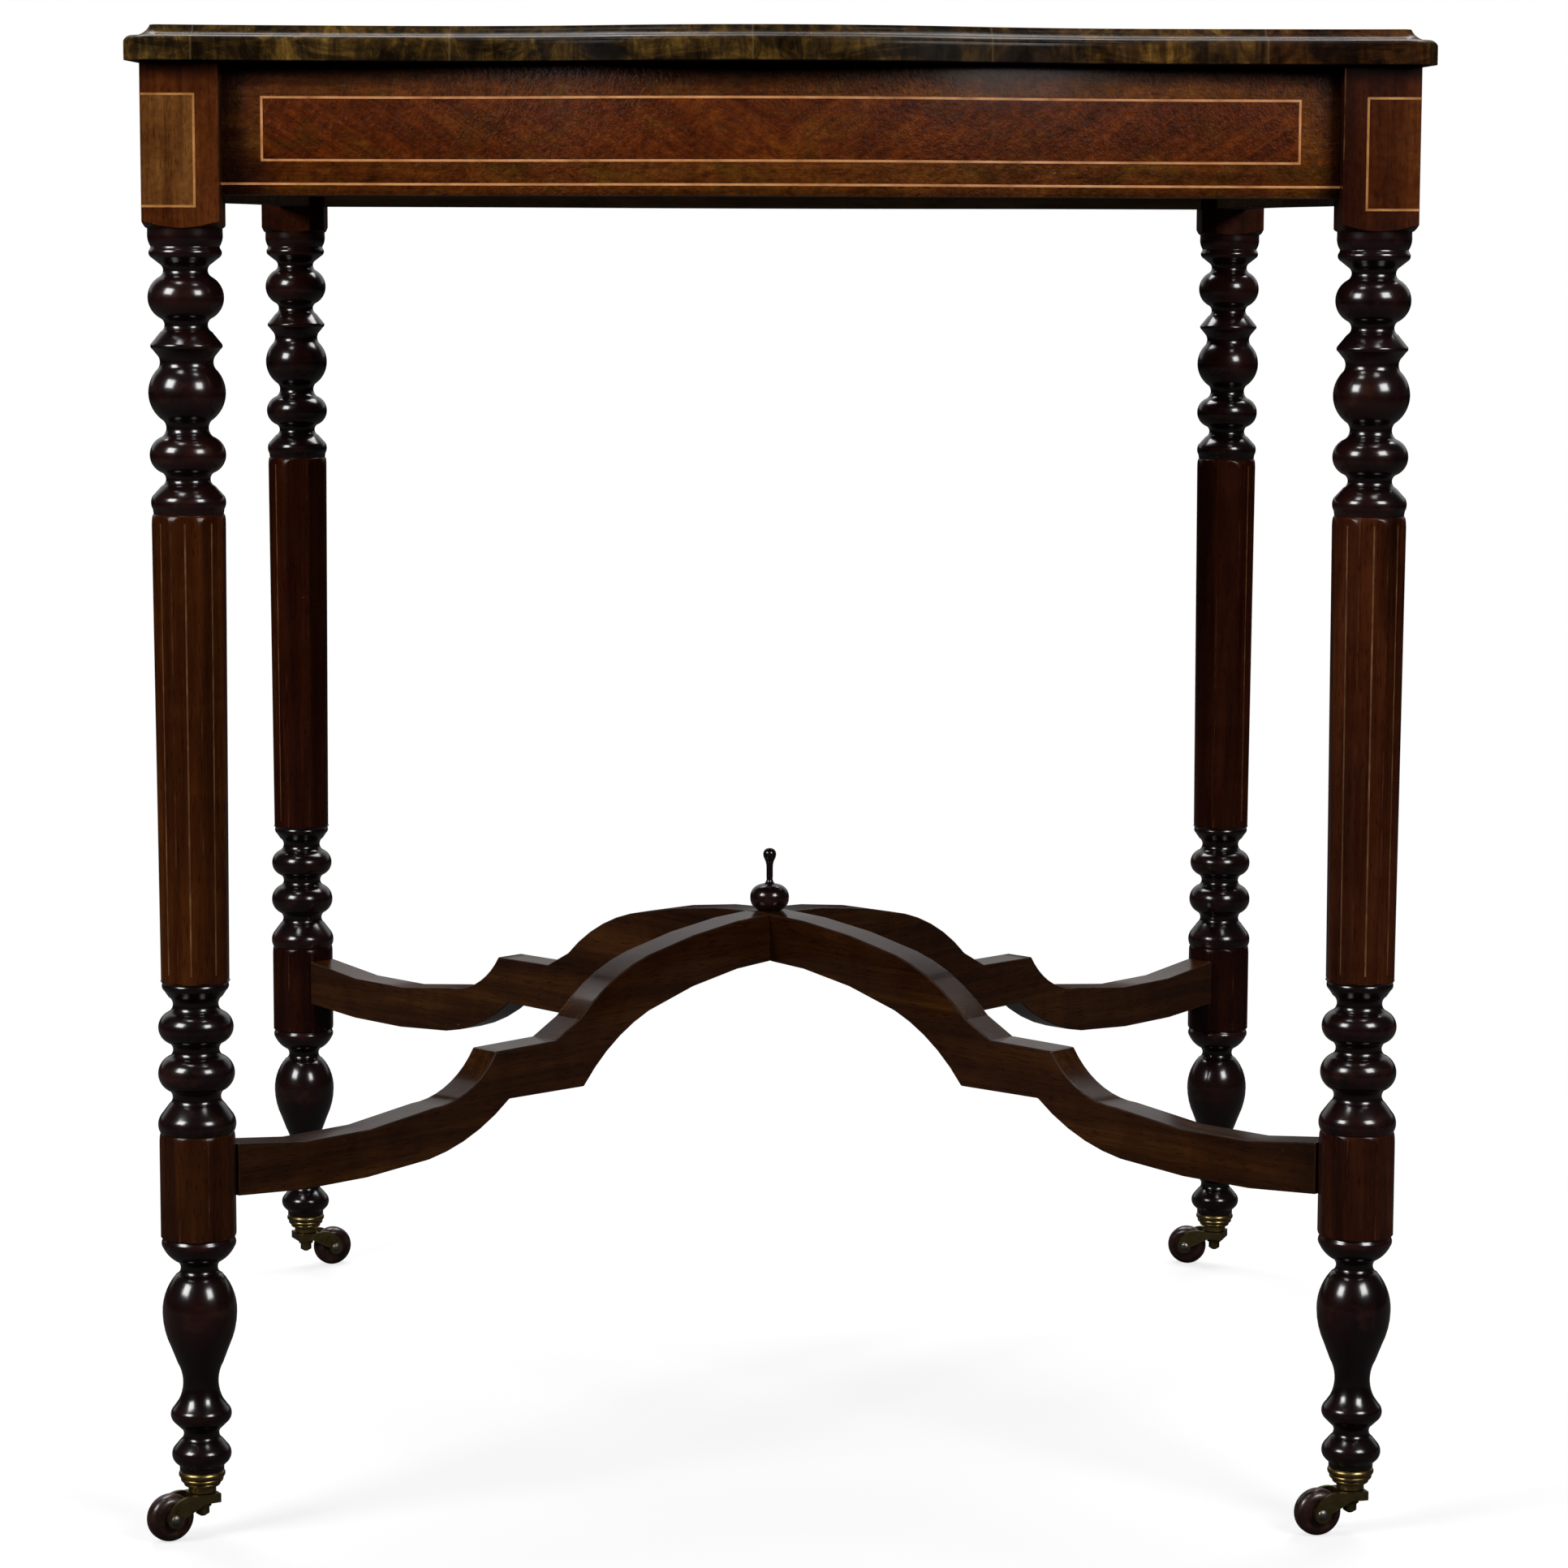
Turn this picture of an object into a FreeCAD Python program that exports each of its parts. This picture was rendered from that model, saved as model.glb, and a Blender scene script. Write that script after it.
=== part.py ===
"""Square inlaid occasional table on casters, modelled in millimetres.

The origin is on the floor under the middle of the top, +Z up, and the front looks along -Y.
Every piece is drawn once and placed at each corner or side by a turn about the table's centre.
"""
import FreeCAD, Part
import os
import Sketcher
from FreeCAD import Placement, Rotation, Vector

SIZES = {
    # Stack from the floor up
    "leg_spacing": 556.0,
    "caster_height": 33.0,
    "foot_height": 115.0,
    "low_block_height": 51.0,
    "low_turning_height": 73.0,
    "shaft_height": 222.0,
    "high_turning_height": 133.0,
    "block_height": 76.5,
    "top_thickness": 16.5,
    # Leg
    "bead_radius": 17.8,
    "spigot_radius": 9.3,
    "spigot_length": 5.5,
    "shaft_blank_low": 16.5,
    "shaft_blank_high": 17.7,
    "shaft_flat_low": 15.8,
    "shaft_flat_high": 16.9,
    "low_block_radius": 18.4,
    "low_block_flat": 17.6,
    "block_width": 36.0,
    "block_cant": 8.0,
    "block_shoulder": 7.0,
    "flat_shoulder_height": 6.0,
    "flat_shoulder_depth": 1.6,
    # Aprons and their tenons
    "apron_height": 61.5,
    "apron_thickness": 18.0,
    "apron_setback": 10.0,
    "apron_swell": 26.0,
    "tenon_thickness": 8.0,
    "tenon_height": 46.0,
    "tenon_length": 11.3,
    "tenon_drop": 8.0,
    "joint_gap": 0.15,
    "joint_end_gap": 0.4,
    # Stretcher rails
    "rail_thickness": 18.0,
    "rail_seat": 17.8,
    "rail_end_height": 25.6,
    "rail_rise": 71.7,
    "rail_tenon_height": 18.0,
    "rail_tenon_length": 12.0,
    # Finial
    "finial_radius": 10.5,
    "finial_height": 33.7,
    "dowel_radius": 4.0,
    "dowel_length": 10.0,
    # Stringing let into the blocks, aprons and shafts
    "string_width": 1.1,
    "string_depth": 1.0,
    "block_string_low": 10.0,
    "block_string_drop": 15.3,
    "block_string_inset": 11.3,
    "apron_string_low": 5.5,
    "apron_panel_low": 16.4,
    "apron_panel_drop": 16.3,
    "apron_panel_inset": 19.0,
    "shaft_string_width": 0.8,
    "shaft_string_depth": 0.6,
    "shaft_string_margin": 4.0,
    # Top
    "top_overhang": 25.5,
    "top_swell": 30.0,
    "top_flare": 6.5,
    "top_cant": 10.5,
    "fascia_height": 8.8,
    "round_rise": 2.7,
    "round_run": 5.0,
    "cove_run": 6.5,
    # Corner blocks and the screws that hold the top
    "corner_block_height": 32.0,
    "corner_block_reach": 55.0,
    "screw_near": 2.0,
    "screw_far": 17.0,
    "screw_radius": 2.0,
    "screw_head_radius": 4.0,
    "screw_head_height": 2.2,
    "screw_bite": 9.0,
    "screw_gap": 0.05,
    # Casters
    "cup_radius": 11.2,
    "cup_depth": 7.8,
    "cup_floor": 2.3,
    "cup_ring": 0.35,
    "cup_neck_radius": 6.65,
    "cup_neck_depth": 3.3,
    "pin_radius": 3.3,
    "pin_tail": 5.0,
    "pin_collar_radius": 4.3,
    "pin_collar_depth": 2.0,
    "pin_screw_radius": 2.5,
    "pin_screw_length": 20.5,
    "swivel_gap": 0.3,
    "bore_gap": 0.05,
    "crown_thickness": 4.4,
    "crown_front": 6.5,
    "cheek_thickness": 2.0,
    "cheek_boss_radius": 4.0,
    "wheel_gap": 0.5,
    "wheel_radius": 11.5,
    "wheel_width": 10.0,
    "wheel_trail": 17.0,
    "wheel_round": 2.0,
    "wheel_dish": 0.8,
    "axle_radius": 1.55,
    "axle_head_radius": 2.6,
    "axle_head_height": 1.0,
    # Overrun of every cut past the wood it leaves
    "overrun": 3.0,
}

# Way each caster trails at rest, in degrees from +X towards +Y
TRAIL_ANGLES = {"front_left": 211.0, "front_right": 195.0, "back_right": 160.0, "back_left": 25.0}

# Quarter turns from the front left corner, and from the front side
CORNERS = {"front_left": 0.0, "front_right": 90.0, "back_right": 180.0, "back_left": 270.0}
SIDES = {"front": 0.0, "right": 90.0, "back": 180.0, "left": 270.0}

# Turned outlines. A row is a line's end or an arc's middle and end, each point given as a
# share of the section's height and a share of the bead radius.
foot_shares = [
    [(0.018, 0.60)], [(0.067, 0.80), (0.123, 0.64)], [(0.158, 0.478), (0.187, 0.63)],
    [(0.237, 0.82), (0.310, 0.59)], [(0.370, 0.483), (0.461, 0.618)], [(0.530, 0.787)],
    [(0.609, 0.955), (0.674, 1.0)], [(0.765, 0.90), (0.835, 0.63)],
    [(0.870, 0.50), (0.898, 0.646)], [(0.939, 0.888), (0.970, 0.989)],
    [(0.985, 1.0), (1.0, 0.989)],
]
low_turning_shares = [
    [(0.062, 1.039), (0.110, 0.966)], [(0.185, 0.736)], [(0.227, 0.646), (0.274, 0.73)],
    [(0.392, 1.022), (0.493, 0.775)], [(0.548, 0.618), (0.593, 0.742)],
    [(0.690, 1.003), (0.788, 0.764)], [(0.845, 0.607), (0.897, 0.725)], [(0.938, 0.837)],
    [(0.962, 0.893), (0.984, 0.876)],
]
high_turning_shares = [
    [(0.017, 0.938)], [(0.044, 0.983), (0.062, 0.944)], [(0.098, 0.702)],
    [(0.123, 0.584), (0.144, 0.669)], [(0.209, 1.0), (0.271, 0.68)],
    [(0.301, 0.556), (0.327, 0.624)], [(0.416, 1.011), (0.511, 0.747)],
    [(0.532, 0.702), (0.553, 0.742)], [(0.579, 0.899)], [(0.589, 0.944), (0.598, 0.921)],
    [(0.639, 0.674)], [(0.665, 0.567), (0.688, 0.697)], [(0.761, 0.997), (0.831, 0.685)],
    [(0.856, 0.584), (0.876, 0.68)], [(0.898, 0.888)], [(0.914, 0.955), (0.928, 0.916)],
    [(0.936, 0.899)], [(0.959, 0.972), (0.985, 0.983)], [(1.0, 0.983)],
]
high_turning_start_share = 0.983
low_turning_start_share = 0.995
finial_shares = [
    [(0.09, 0.96), (0.208, 1.0)], [(0.356, 0.81), (0.415, 0.333)], [(0.463, 0.19), (0.534, 0.167)],
    [(0.682, 0.167)], [(0.757, 0.19), (0.813, 0.248)], [(0.86, 0.315), (0.905, 0.333)],
    [(0.972, 0.25), (1.0, 0.06)], [(1.0, 0.0)],
]

# Half of a rail's edges from the crossing outwards, as shares of its reach and of its rise
rail_under_shares = [
    [(0.133, 0.944), (0.266, 0.773)], [(0.338, 0.568), (0.391, 0.303)], [(0.530, 0.314)],
    [(0.591, 0.119), (0.676, -0.011)], [(0.812, -0.053), (1.0, 0.0)],
]
rail_over_shares = [
    [(0.133, 0.957), (0.266, 0.831)], [(0.341, 0.671), (0.399, 0.441)], [(0.444, 0.318)],
    [(0.554, 0.314)], [(0.591, 0.113), (0.666, -0.006)], [(0.826, -0.082), (1.0, 0.0)],
]

# Half length of the swell on each side, as a share of the apron's or the top's reach, and where
# its outward curve turns into the inward one
apron_swell_share = 0.77
top_swell_share = 0.58
turn_over_share = 0.5

foot_base_share = 0.60
finial_base_share = 0.762
shaft_line_count = 5
flat_count = 8

document = FreeCAD.newDocument("Table")
sheet = document.addObject("Spreadsheet::Sheet", "Sizes")
for row, (alias, number) in enumerate(SIZES.items(), start=1):
    sheet.set("A%d" % row, alias)
    sheet.set("B%d" % row, str(number))
    sheet.setAlias("B%d" % row, alias)
document.recompute()


def cell(alias):
    return "Sizes." + alias


def total(*aliases):
    return "(" + " + ".join(cell(alias) for alias in aliases) + ")"


def value(expression):
    return float(sheet.evalExpression(expression))


# Levels above the floor
FOOT_BOTTOM = cell("caster_height")
LOW_BLOCK_BOTTOM = total("caster_height", "foot_height")
LOW_BLOCK_TOP = total("caster_height", "foot_height", "low_block_height")
SHAFT_BOTTOM = f"({LOW_BLOCK_TOP} + {cell('low_turning_height')})"
SHAFT_TOP = f"({SHAFT_BOTTOM} + {cell('shaft_height')})"
BLOCK_BOTTOM = f"({SHAFT_TOP} + {cell('high_turning_height')})"
BLOCK_TOP = f"({BLOCK_BOTTOM} + {cell('block_height')})"
TABLE_TOP = f"({BLOCK_TOP} + {cell('top_thickness')})"
CUP_BOTTOM = f"({cell('caster_height')} - {cell('cup_depth')})"
CUP_FLOOR_TOP = f"({CUP_BOTTOM} + {cell('cup_floor')})"
NECK_BOTTOM = f"({CUP_BOTTOM} - {cell('cup_neck_depth')})"
CROWN_TOP = f"({NECK_BOTTOM} - {cell('swivel_gap')})"
CROWN_BOTTOM = f"({CROWN_TOP} - {cell('crown_thickness')})"
COLLAR_TOP = f"({CROWN_BOTTOM} - {cell('swivel_gap')})"
COLLAR_BOTTOM = f"({COLLAR_TOP} - {cell('pin_collar_depth')})"
RAIL_END_LOW = f"({LOW_BLOCK_BOTTOM} + {cell('rail_seat')})"
RAIL_END_HIGH = f"({RAIL_END_LOW} + {cell('rail_end_height')})"
RAIL_CROWN = f"({RAIL_END_HIGH} + {cell('rail_rise')})"
RAIL_LAP = f"({RAIL_CROWN} - {cell('rail_end_height')} / 2)"
APRON_BOTTOM = f"({BLOCK_TOP} - {cell('apron_height')})"

# Places in plan
LEG_PLACE = f"({cell('leg_spacing')} / 2)"
BLOCK_HALF = f"({cell('block_width')} / 2)"
APRON_REACH = f"({LEG_PLACE} - {BLOCK_HALF})"
APRON_END = f"({LEG_PLACE} + {BLOCK_HALF} - {cell('apron_setback')})"
APRON_TURN = f"({apron_swell_share} * {APRON_REACH})"
TENON_MIDDLE = f"({APRON_END} - {cell('apron_thickness')} / 2)"
RAIL_REACH = f"({cell('leg_spacing')} / sqrt(2) - {cell('low_block_flat')})"
TOP_CORNER = f"({LEG_PLACE} + {cell('top_overhang')})"
TOP_REACH = f"({TOP_CORNER} - {cell('top_cant')})"
TOP_HOLLOW = f"({TOP_CORNER} - {cell('top_flare')})"
TOP_TURN = f"({top_swell_share} * {TOP_REACH})"


class Swell:
    """A side's curve in plan: an outward arc in the middle, then an inward one each way.

    It stands `rise` proud at the middle and meets the level `low` squarely at `turn` from it.
    An inset moves the whole curve towards the table's middle and keeps its centres.
    """

    def __init__(self, low, rise, turn):
        self.low, self.turn = low, turn
        self.both = f"(({turn} ^ 2 + {rise} ^ 2) / (2 * {rise}))"
        self.middle = f"({low} + {rise})"
        self.outward = f"({turn_over_share} * {self.both})"
        self.inward = f"({self.both} - {self.outward})"
        self.outward_centre = f"({self.middle} - {self.outward})"
        self.inward_centre = f"({low} + {self.inward})"
        self.fall = f"({self.both} - {rise})"

    def crest(self, inset):
        return "0", f"({self.middle} - {inset})"

    def turn_over(self, inset):
        """Where the outward arc meets the inward one, across the side and out from the middle."""
        share = f"(({self.outward} - {inset}) / {self.both})"
        return f"({share} * {self.turn})", f"({self.outward_centre} + {share} * {self.fall})"

    def inward_point(self, inset):
        """A point half way along the inward arc."""
        across, _ = self.turn_over(inset)
        back = f"(({self.turn} - {across}) / 2)"
        out = f"({self.inward_centre} - sqrt(({self.inward} + {inset}) ^ 2 - {back} ^ 2))"
        return f"({self.turn} - {back})", out

    def foot(self, inset):
        return self.turn, f"({self.low} - {inset})"

    def rows(self, inset):
        """The curve's arcs from the turn on the left to that on the right."""
        places = [self.inward_point(inset), self.turn_over(inset)]
        return [
            [mirrored(places[0]), mirrored(places[1])],
            [self.crest(inset), places[1]],
            [places[0], self.foot(inset)],
        ]


def mirrored(place):
    return f"-{place[0]}", place[1]


def on_side(place, quarter=0):
    """A place given across a side and out from the table's middle, on the side so many
    quarter turns from the front."""
    across, out = place
    return [(across, f"-{out}"), (out, across), (f"-{across}", out), (f"-{out}", f"-{across}")][quarter]


def backwards(rows, start):
    """The same rows drawn from their end back to the start."""
    starts = [start] + [row[-1] for row in rows[:-1]]
    return [row[:-1] + [first] for row, first in reversed(list(zip(rows, starts)))]


def add_body(label, turn=0.0, place_x=None, place_y=None, place_z=None):
    """A body turned about Z, its place bound to the sheet."""
    body = document.addObject("PartDesign::Body", label)
    body.Label = label
    body.Placement = Placement(Vector(), Rotation(Vector(0, 0, 1), turn))
    for axis, expression in (("x", place_x), ("y", place_y), ("z", place_z)):
        if expression is not None:
            body.setExpression("Placement.Base." + axis, expression)
    return body


def origin_feature(body, role):
    return next(item for item in body.Origin.OriginFeatures if item.Role == role)


def add_sketch(body, name, plane, level=None, turn=0.0):
    """A sketch on an origin plane, lifted off it and turned in it where asked."""
    sketch = body.newObject("Sketcher::SketchObject", name)
    sketch.AttachmentSupport = [(origin_feature(body, plane), "")]
    sketch.MapMode = "FlatFace"
    sketch.AttachmentOffset = Placement(Vector(), Rotation(Vector(0, 0, 1), turn))
    if level is not None:
        sketch.setExpression("AttachmentOffset.Base.z", level)
    return sketch


def point_ties(geometry, end, across, along):
    """Constraints that tie one point of a sketch to two expressions."""
    ties = []
    for kind, axis, expression in (("DistanceX", -2, across), ("DistanceY", -1, along)):
        if expression == "0":
            ties.append((Sketcher.Constraint("PointOnObject", geometry, end, axis), None))
        else:
            number = value(expression)
            ties.append((Sketcher.Constraint(kind, -1, 1, geometry, end, number), expression))
    return ties


def add_ties(sketch, ties):
    """Adds the constraints together, then binds those that have an expression."""
    indices = sketch.addConstraint([constraint for constraint, _ in ties])
    for index, (_, expression) in zip(indices, ties):
        if expression is not None:
            sketch.setExpression("Constraints[%d]" % index, expression)


def draw_outline(sketch, rows):
    """A closed outline. Each row ends at its last point, an arc passing through its first."""
    points = [[Vector(value(across), value(along), 0) for across, along in row] for row in rows]
    ends = []
    ties = []
    for index, (row, places) in enumerate(zip(rows, points)):
        first, last = points[index - 1][-1], places[-1]
        if len(row) == 1:
            line = sketch.addGeometry(Part.LineSegment(first, last), False)
            ends.append((line, 1, 2))
            continue
        middle = places[0]
        anticlockwise = (middle - first).cross(last - middle).z > 0
        low, high = (first, last) if anticlockwise else (last, first)
        arc = sketch.addGeometry(Part.Arc(low, middle, high), False)
        ends.append((arc, 1, 2) if anticlockwise else (arc, 2, 1))
        marker = sketch.addGeometry(Part.Point(middle), True)
        ties.append((Sketcher.Constraint("PointOnObject", marker, 1, arc), None))
        ties += point_ties(marker, 1, row[0][0], row[0][1])
    for row, current, following in zip(rows, ends, ends[1:] + ends[:1]):
        joint = Sketcher.Constraint("Coincident", current[0], current[2], following[0], following[1])
        ties.append((joint, None))
        ties += point_ties(current[0], current[2], row[-1][0], row[-1][1])
    add_ties(sketch, ties)
    return sketch


def draw_circle(sketch, radius, across="0", along="0"):
    place = Vector(value(across), value(along), 0)
    circle = sketch.addGeometry(Part.Circle(place, Vector(0, 0, 1), value(radius)), False)
    ties = point_ties(circle, 3, across, along)
    ties.append((Sketcher.Constraint("Radius", circle, value(radius)), radius))
    add_ties(sketch, ties)
    return sketch


def box_rows(left, right, low, high):
    return [[(right, low)], [(right, high)], [(left, high)], [(left, low)]]


def add_feature(body, kind, name, sketch, **numbers):
    feature = body.newObject("PartDesign::" + kind, name)
    feature.Profile = sketch
    feature.Refine = False
    for field, number in numbers.items():
        if isinstance(number, str) and field in ("Length", "Angle"):
            feature.setExpression(field, number)
        else:
            setattr(feature, field, number)
    sketch.Visibility = False
    return feature


def revolve(body, name, sketch, kind="Revolution", axis="V_Axis"):
    feature = add_feature(body, kind, name, sketch)
    feature.ReferenceAxis = (sketch, [axis])
    feature.Angle = 360
    return feature


def turn_round(body, name, rows):
    """A turned solid about the body's own axis."""
    return revolve(body, name, draw_outline(add_sketch(body, name + "Outline", "XZ_Plane"), rows))


def cut_round(body, name, rows):
    """A turned cut about the body's own axis."""
    sketch = draw_outline(add_sketch(body, name + "Outline", "XZ_Plane"), rows)
    return revolve(body, name, sketch, "Groove")


def pad(body, name, sketch, length, middle=False):
    return add_feature(body, "Pad", name, sketch, Length=length, Midplane=middle)


def pocket(body, name, sketch, length, middle=False):
    """A cut on the side its sketch faces, or to both sides of it."""
    cut = add_feature(body, "Pocket", name, sketch, Length=length, Midplane=middle)
    cut.Reversed = not middle
    return cut


def repeat_round(body, name, originals, count, angle=360):
    pattern = body.newObject("PartDesign::PolarPattern", name)
    pattern.Originals = originals
    pattern.Refine = False
    pattern.Axis = (origin_feature(body, "Z_Axis"), [""])
    pattern.Angle = angle
    pattern.Occurrences = count
    body.Tip = pattern
    return pattern


def turned_rows(shares, bottom, height, radius):
    """Rows of a turned outline from its table of shares."""
    return [
        [(f"{out} * {radius}", f"{bottom} + {up} * {height}") if out else
         ("0", f"{bottom} + {up} * {height}") for up, out in row]
        for row in shares
    ]


def copy_round(first, turns):
    """The first corner's or side's piece again at the others, turned about the middle."""
    stem = first.Label[: -len(next(iter(turns)))]
    for place, turn in list(turns.items())[1:]:
        copy = document.addObject("Part::Compound", stem + place)
        copy.Label = stem + place
        copy.Links = [first]
        copy.Placement = Placement(Vector(), Rotation(Vector(0, 0, 1), turn))


def corner_body(label, corner):
    """A body on a leg's axis, its outer corner looking away from the table's middle."""
    turn = CORNERS[corner]
    sign_x = "" if corner.endswith("right") else "-"
    sign_y = "" if corner.startswith("back") else "-"
    return add_body(label, turn, sign_x + LEG_PLACE, sign_y + LEG_PLACE)


def panel_band_rows(depth_side):
    """Plan of the stringing round a block's outer corner; the band's outside is given."""
    outside = f"(-{BLOCK_HALF} - {depth_side})"
    inside = f"(-{BLOCK_HALF} + {cell('string_depth')})"
    line_end = f"({BLOCK_HALF} - {cell('block_string_inset')} + {cell('string_width')} / 2)"
    return [
        [(outside, outside)], [(line_end, outside)], [(line_end, inside)], [(inside, inside)],
        [(inside, line_end)], [(outside, line_end)],
    ]


def panel_levels():
    low = f"({BLOCK_BOTTOM} + {cell('block_string_low')} - {cell('string_width')} / 2)"
    high = f"({BLOCK_TOP} - {cell('block_string_drop')} + {cell('string_width')} / 2)"
    return low, high


def shaft_line_rows(outside):
    """Side view of one shaft line, its back at the line's depth and its face as given."""
    slope = f"(({cell('shaft_flat_high')} - {cell('shaft_flat_low')}) / {cell('shaft_height')})"
    lift = f"{slope} * {cell('shaft_string_margin')}"
    low = f"({SHAFT_BOTTOM} + {cell('shaft_string_margin')})"
    high = f"({SHAFT_TOP} - {cell('shaft_string_margin')})"
    face_low = f"({cell('shaft_flat_low')} + {lift})"
    face_high = f"({cell('shaft_flat_high')} - {lift})"
    depth = cell("shaft_string_depth")
    return [
        [(f"{face_low} + {outside}", low)], [(f"{face_high} + {outside}", high)],
        [(f"{face_high} - {depth}", high)], [(f"{face_low} - {depth}", low)],
    ]


def make_leg(corner):
    """One turned leg: square block, turnings, octagonal shaft, octagonal block and foot."""
    leg = corner_body("leg_" + corner, corner)
    radius = cell("bead_radius")
    spigot = cell("spigot_radius")
    spigot_end = f"({FOOT_BOTTOM} - {cell('spigot_length')})"

    outer = f"(-{BLOCK_HALF})"
    canted = f"({BLOCK_HALF} - {cell('block_cant')})"
    block = [
        [(outer, outer)], [(BLOCK_HALF, outer)], [(BLOCK_HALF, canted)], [(canted, BLOCK_HALF)],
        [(outer, BLOCK_HALF)],
    ]
    sketch = draw_outline(add_sketch(leg, "BlockPlan", "XY_Plane", BLOCK_BOTTOM), block)
    pad(leg, "Block", sketch, cell("block_height"))
    corner_reach = cell("block_width")
    shoulder = [
        [(radius, BLOCK_BOTTOM)], [(corner_reach, BLOCK_BOTTOM)],
        [(corner_reach, f"({BLOCK_BOTTOM} + {cell('block_shoulder')})")],
    ]
    cut_round(leg, "Shoulder", shoulder)
    cut_apron_mortises(leg)
    cut_panel_grooves(leg)

    high = [[("0", SHAFT_TOP)], [(f"{high_turning_start_share} * {radius}", SHAFT_TOP)]]
    high += turned_rows(high_turning_shares, SHAFT_TOP, cell("high_turning_height"), radius)
    high += [[("0", BLOCK_BOTTOM)]]
    turn_round(leg, "HighTurning", high)

    shaft = [[("0", SHAFT_BOTTOM)], [(cell("shaft_blank_low"), SHAFT_BOTTOM)]]
    shaft += shoulder_rows(cell("shaft_blank_high"), SHAFT_TOP)
    turn_round(leg, "Shaft", shaft)
    cut_flats(leg, "ShaftFlat", cell("shaft_flat_low"), cell("shaft_flat_high"), SHAFT_BOTTOM, SHAFT_TOP)
    cut_shaft_grooves(leg)

    low = [[("0", LOW_BLOCK_TOP)], [(f"{low_turning_start_share} * {radius}", LOW_BLOCK_TOP)]]
    low += turned_rows(low_turning_shares, LOW_BLOCK_TOP, cell("low_turning_height"), radius)
    low += [[(cell("shaft_blank_low"), SHAFT_BOTTOM)], [("0", SHAFT_BOTTOM)]]
    turn_round(leg, "LowTurning", low)

    flat = cell("low_block_flat")
    octagon = [[("0", LOW_BLOCK_BOTTOM)], [(cell("low_block_radius"), LOW_BLOCK_BOTTOM)]]
    octagon += shoulder_rows(cell("low_block_radius"), LOW_BLOCK_TOP)
    turn_round(leg, "LowBlock", octagon)
    cut_flats(leg, "LowBlockFlat", flat, flat, LOW_BLOCK_BOTTOM, LOW_BLOCK_TOP)
    cut_rail_mortise(leg)

    foot = [[("0", spigot_end)], [(spigot, spigot_end)], [(spigot, FOOT_BOTTOM)]]
    foot += [[(f"{foot_base_share} * {radius}", FOOT_BOTTOM)]]
    foot += turned_rows(foot_shares, FOOT_BOTTOM, cell("foot_height"), radius)
    foot += [[("0", LOW_BLOCK_BOTTOM)]]
    turn_round(leg, "Foot", foot)
    hole = add_sketch(leg, "PinHoleOutline", "XY_Plane", spigot_end)
    draw_circle(hole, f"({cell('pin_screw_radius')} + {cell('bore_gap')})")
    pocket(leg, "PinHole", hole, f"{cell('pin_screw_length')} + {cell('joint_end_gap')}")
    return leg


def shoulder_rows(radius, level):
    """The rounded upper end of a faceted length, whose flats run out in it."""
    height, depth = cell("flat_shoulder_height"), cell("flat_shoulder_depth")
    bend_up_share, bend_in_share = 0.4, 0.3
    bend = (f"({radius} - {bend_in_share} * {depth})", f"({level} - {bend_up_share} * {height})")
    return [[(radius, f"({level} - {height})")], [bend, (f"({radius} - {depth})", level)], [("0", level)]]


def cut_flats(leg, name, low_flat, high_flat, low_level, high_level):
    """Flats cut round a turned length, at one distance from its axis below and one above."""
    outside = f"({cell('low_block_radius')} + {cell('overrun')})"
    rows = [
        [(low_flat, low_level)], [(outside, low_level)], [(outside, high_level)],
        [(high_flat, high_level)],
    ]
    sketch = draw_outline(add_sketch(leg, name + "Outline", "XZ_Plane"), rows)
    flat = pocket(leg, name, sketch, cell("block_width"), True)
    repeat_round(leg, name + "s", [flat], flat_count)


def cut_apron_mortises(leg):
    """A mortise in each inner face of the block, for an apron's tenon."""
    gap = cell("joint_gap")
    half = f"({cell('tenon_thickness')} / 2 + {gap})"
    middle = f"({LEG_PLACE} - {TENON_MIDDLE})"
    deep = f"({BLOCK_HALF} - {cell('tenon_length')} - {cell('joint_end_gap')})"
    outside = f"({BLOCK_HALF} + {cell('overrun')})"
    low = f"({BLOCK_TOP} - {cell('tenon_drop')} - {cell('tenon_height')} - {gap})"
    height = f"{cell('tenon_height')} + {gap} + {gap}"
    along_x = box_rows(deep, outside, f"{middle} - {half}", f"{middle} + {half}")
    along_y = box_rows(f"{middle} - {half}", f"{middle} + {half}", deep, outside)
    for name, rows in (("MortiseAlongX", along_x), ("MortiseAlongY", along_y)):
        sketch = draw_outline(add_sketch(leg, name + "Plan", "XY_Plane", low), rows)
        pocket(leg, name, sketch, height)


def cut_rail_mortise(leg):
    """The mortise in the lower block's inward flat, for a rail's tenon."""
    gap = cell("joint_gap")
    half = f"({cell('tenon_thickness')} / 2 + {gap})"
    deep = f"({cell('low_block_flat')} - {cell('rail_tenon_length')} - {cell('joint_end_gap')})"
    outside = f"({cell('low_block_radius')} + {cell('overrun')})"
    middle = f"({RAIL_END_LOW} + {cell('rail_end_height')} / 2)"
    low = f"({middle} - {cell('rail_tenon_height')} / 2 - {gap})"
    rows = box_rows(deep, outside, "-" + half, half)
    sketch = draw_outline(add_sketch(leg, "RailMortisePlan", "XY_Plane", low, 45), rows)
    pocket(leg, "RailMortise", sketch, f"{cell('rail_tenon_height')} + {gap} + {gap}")


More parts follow.
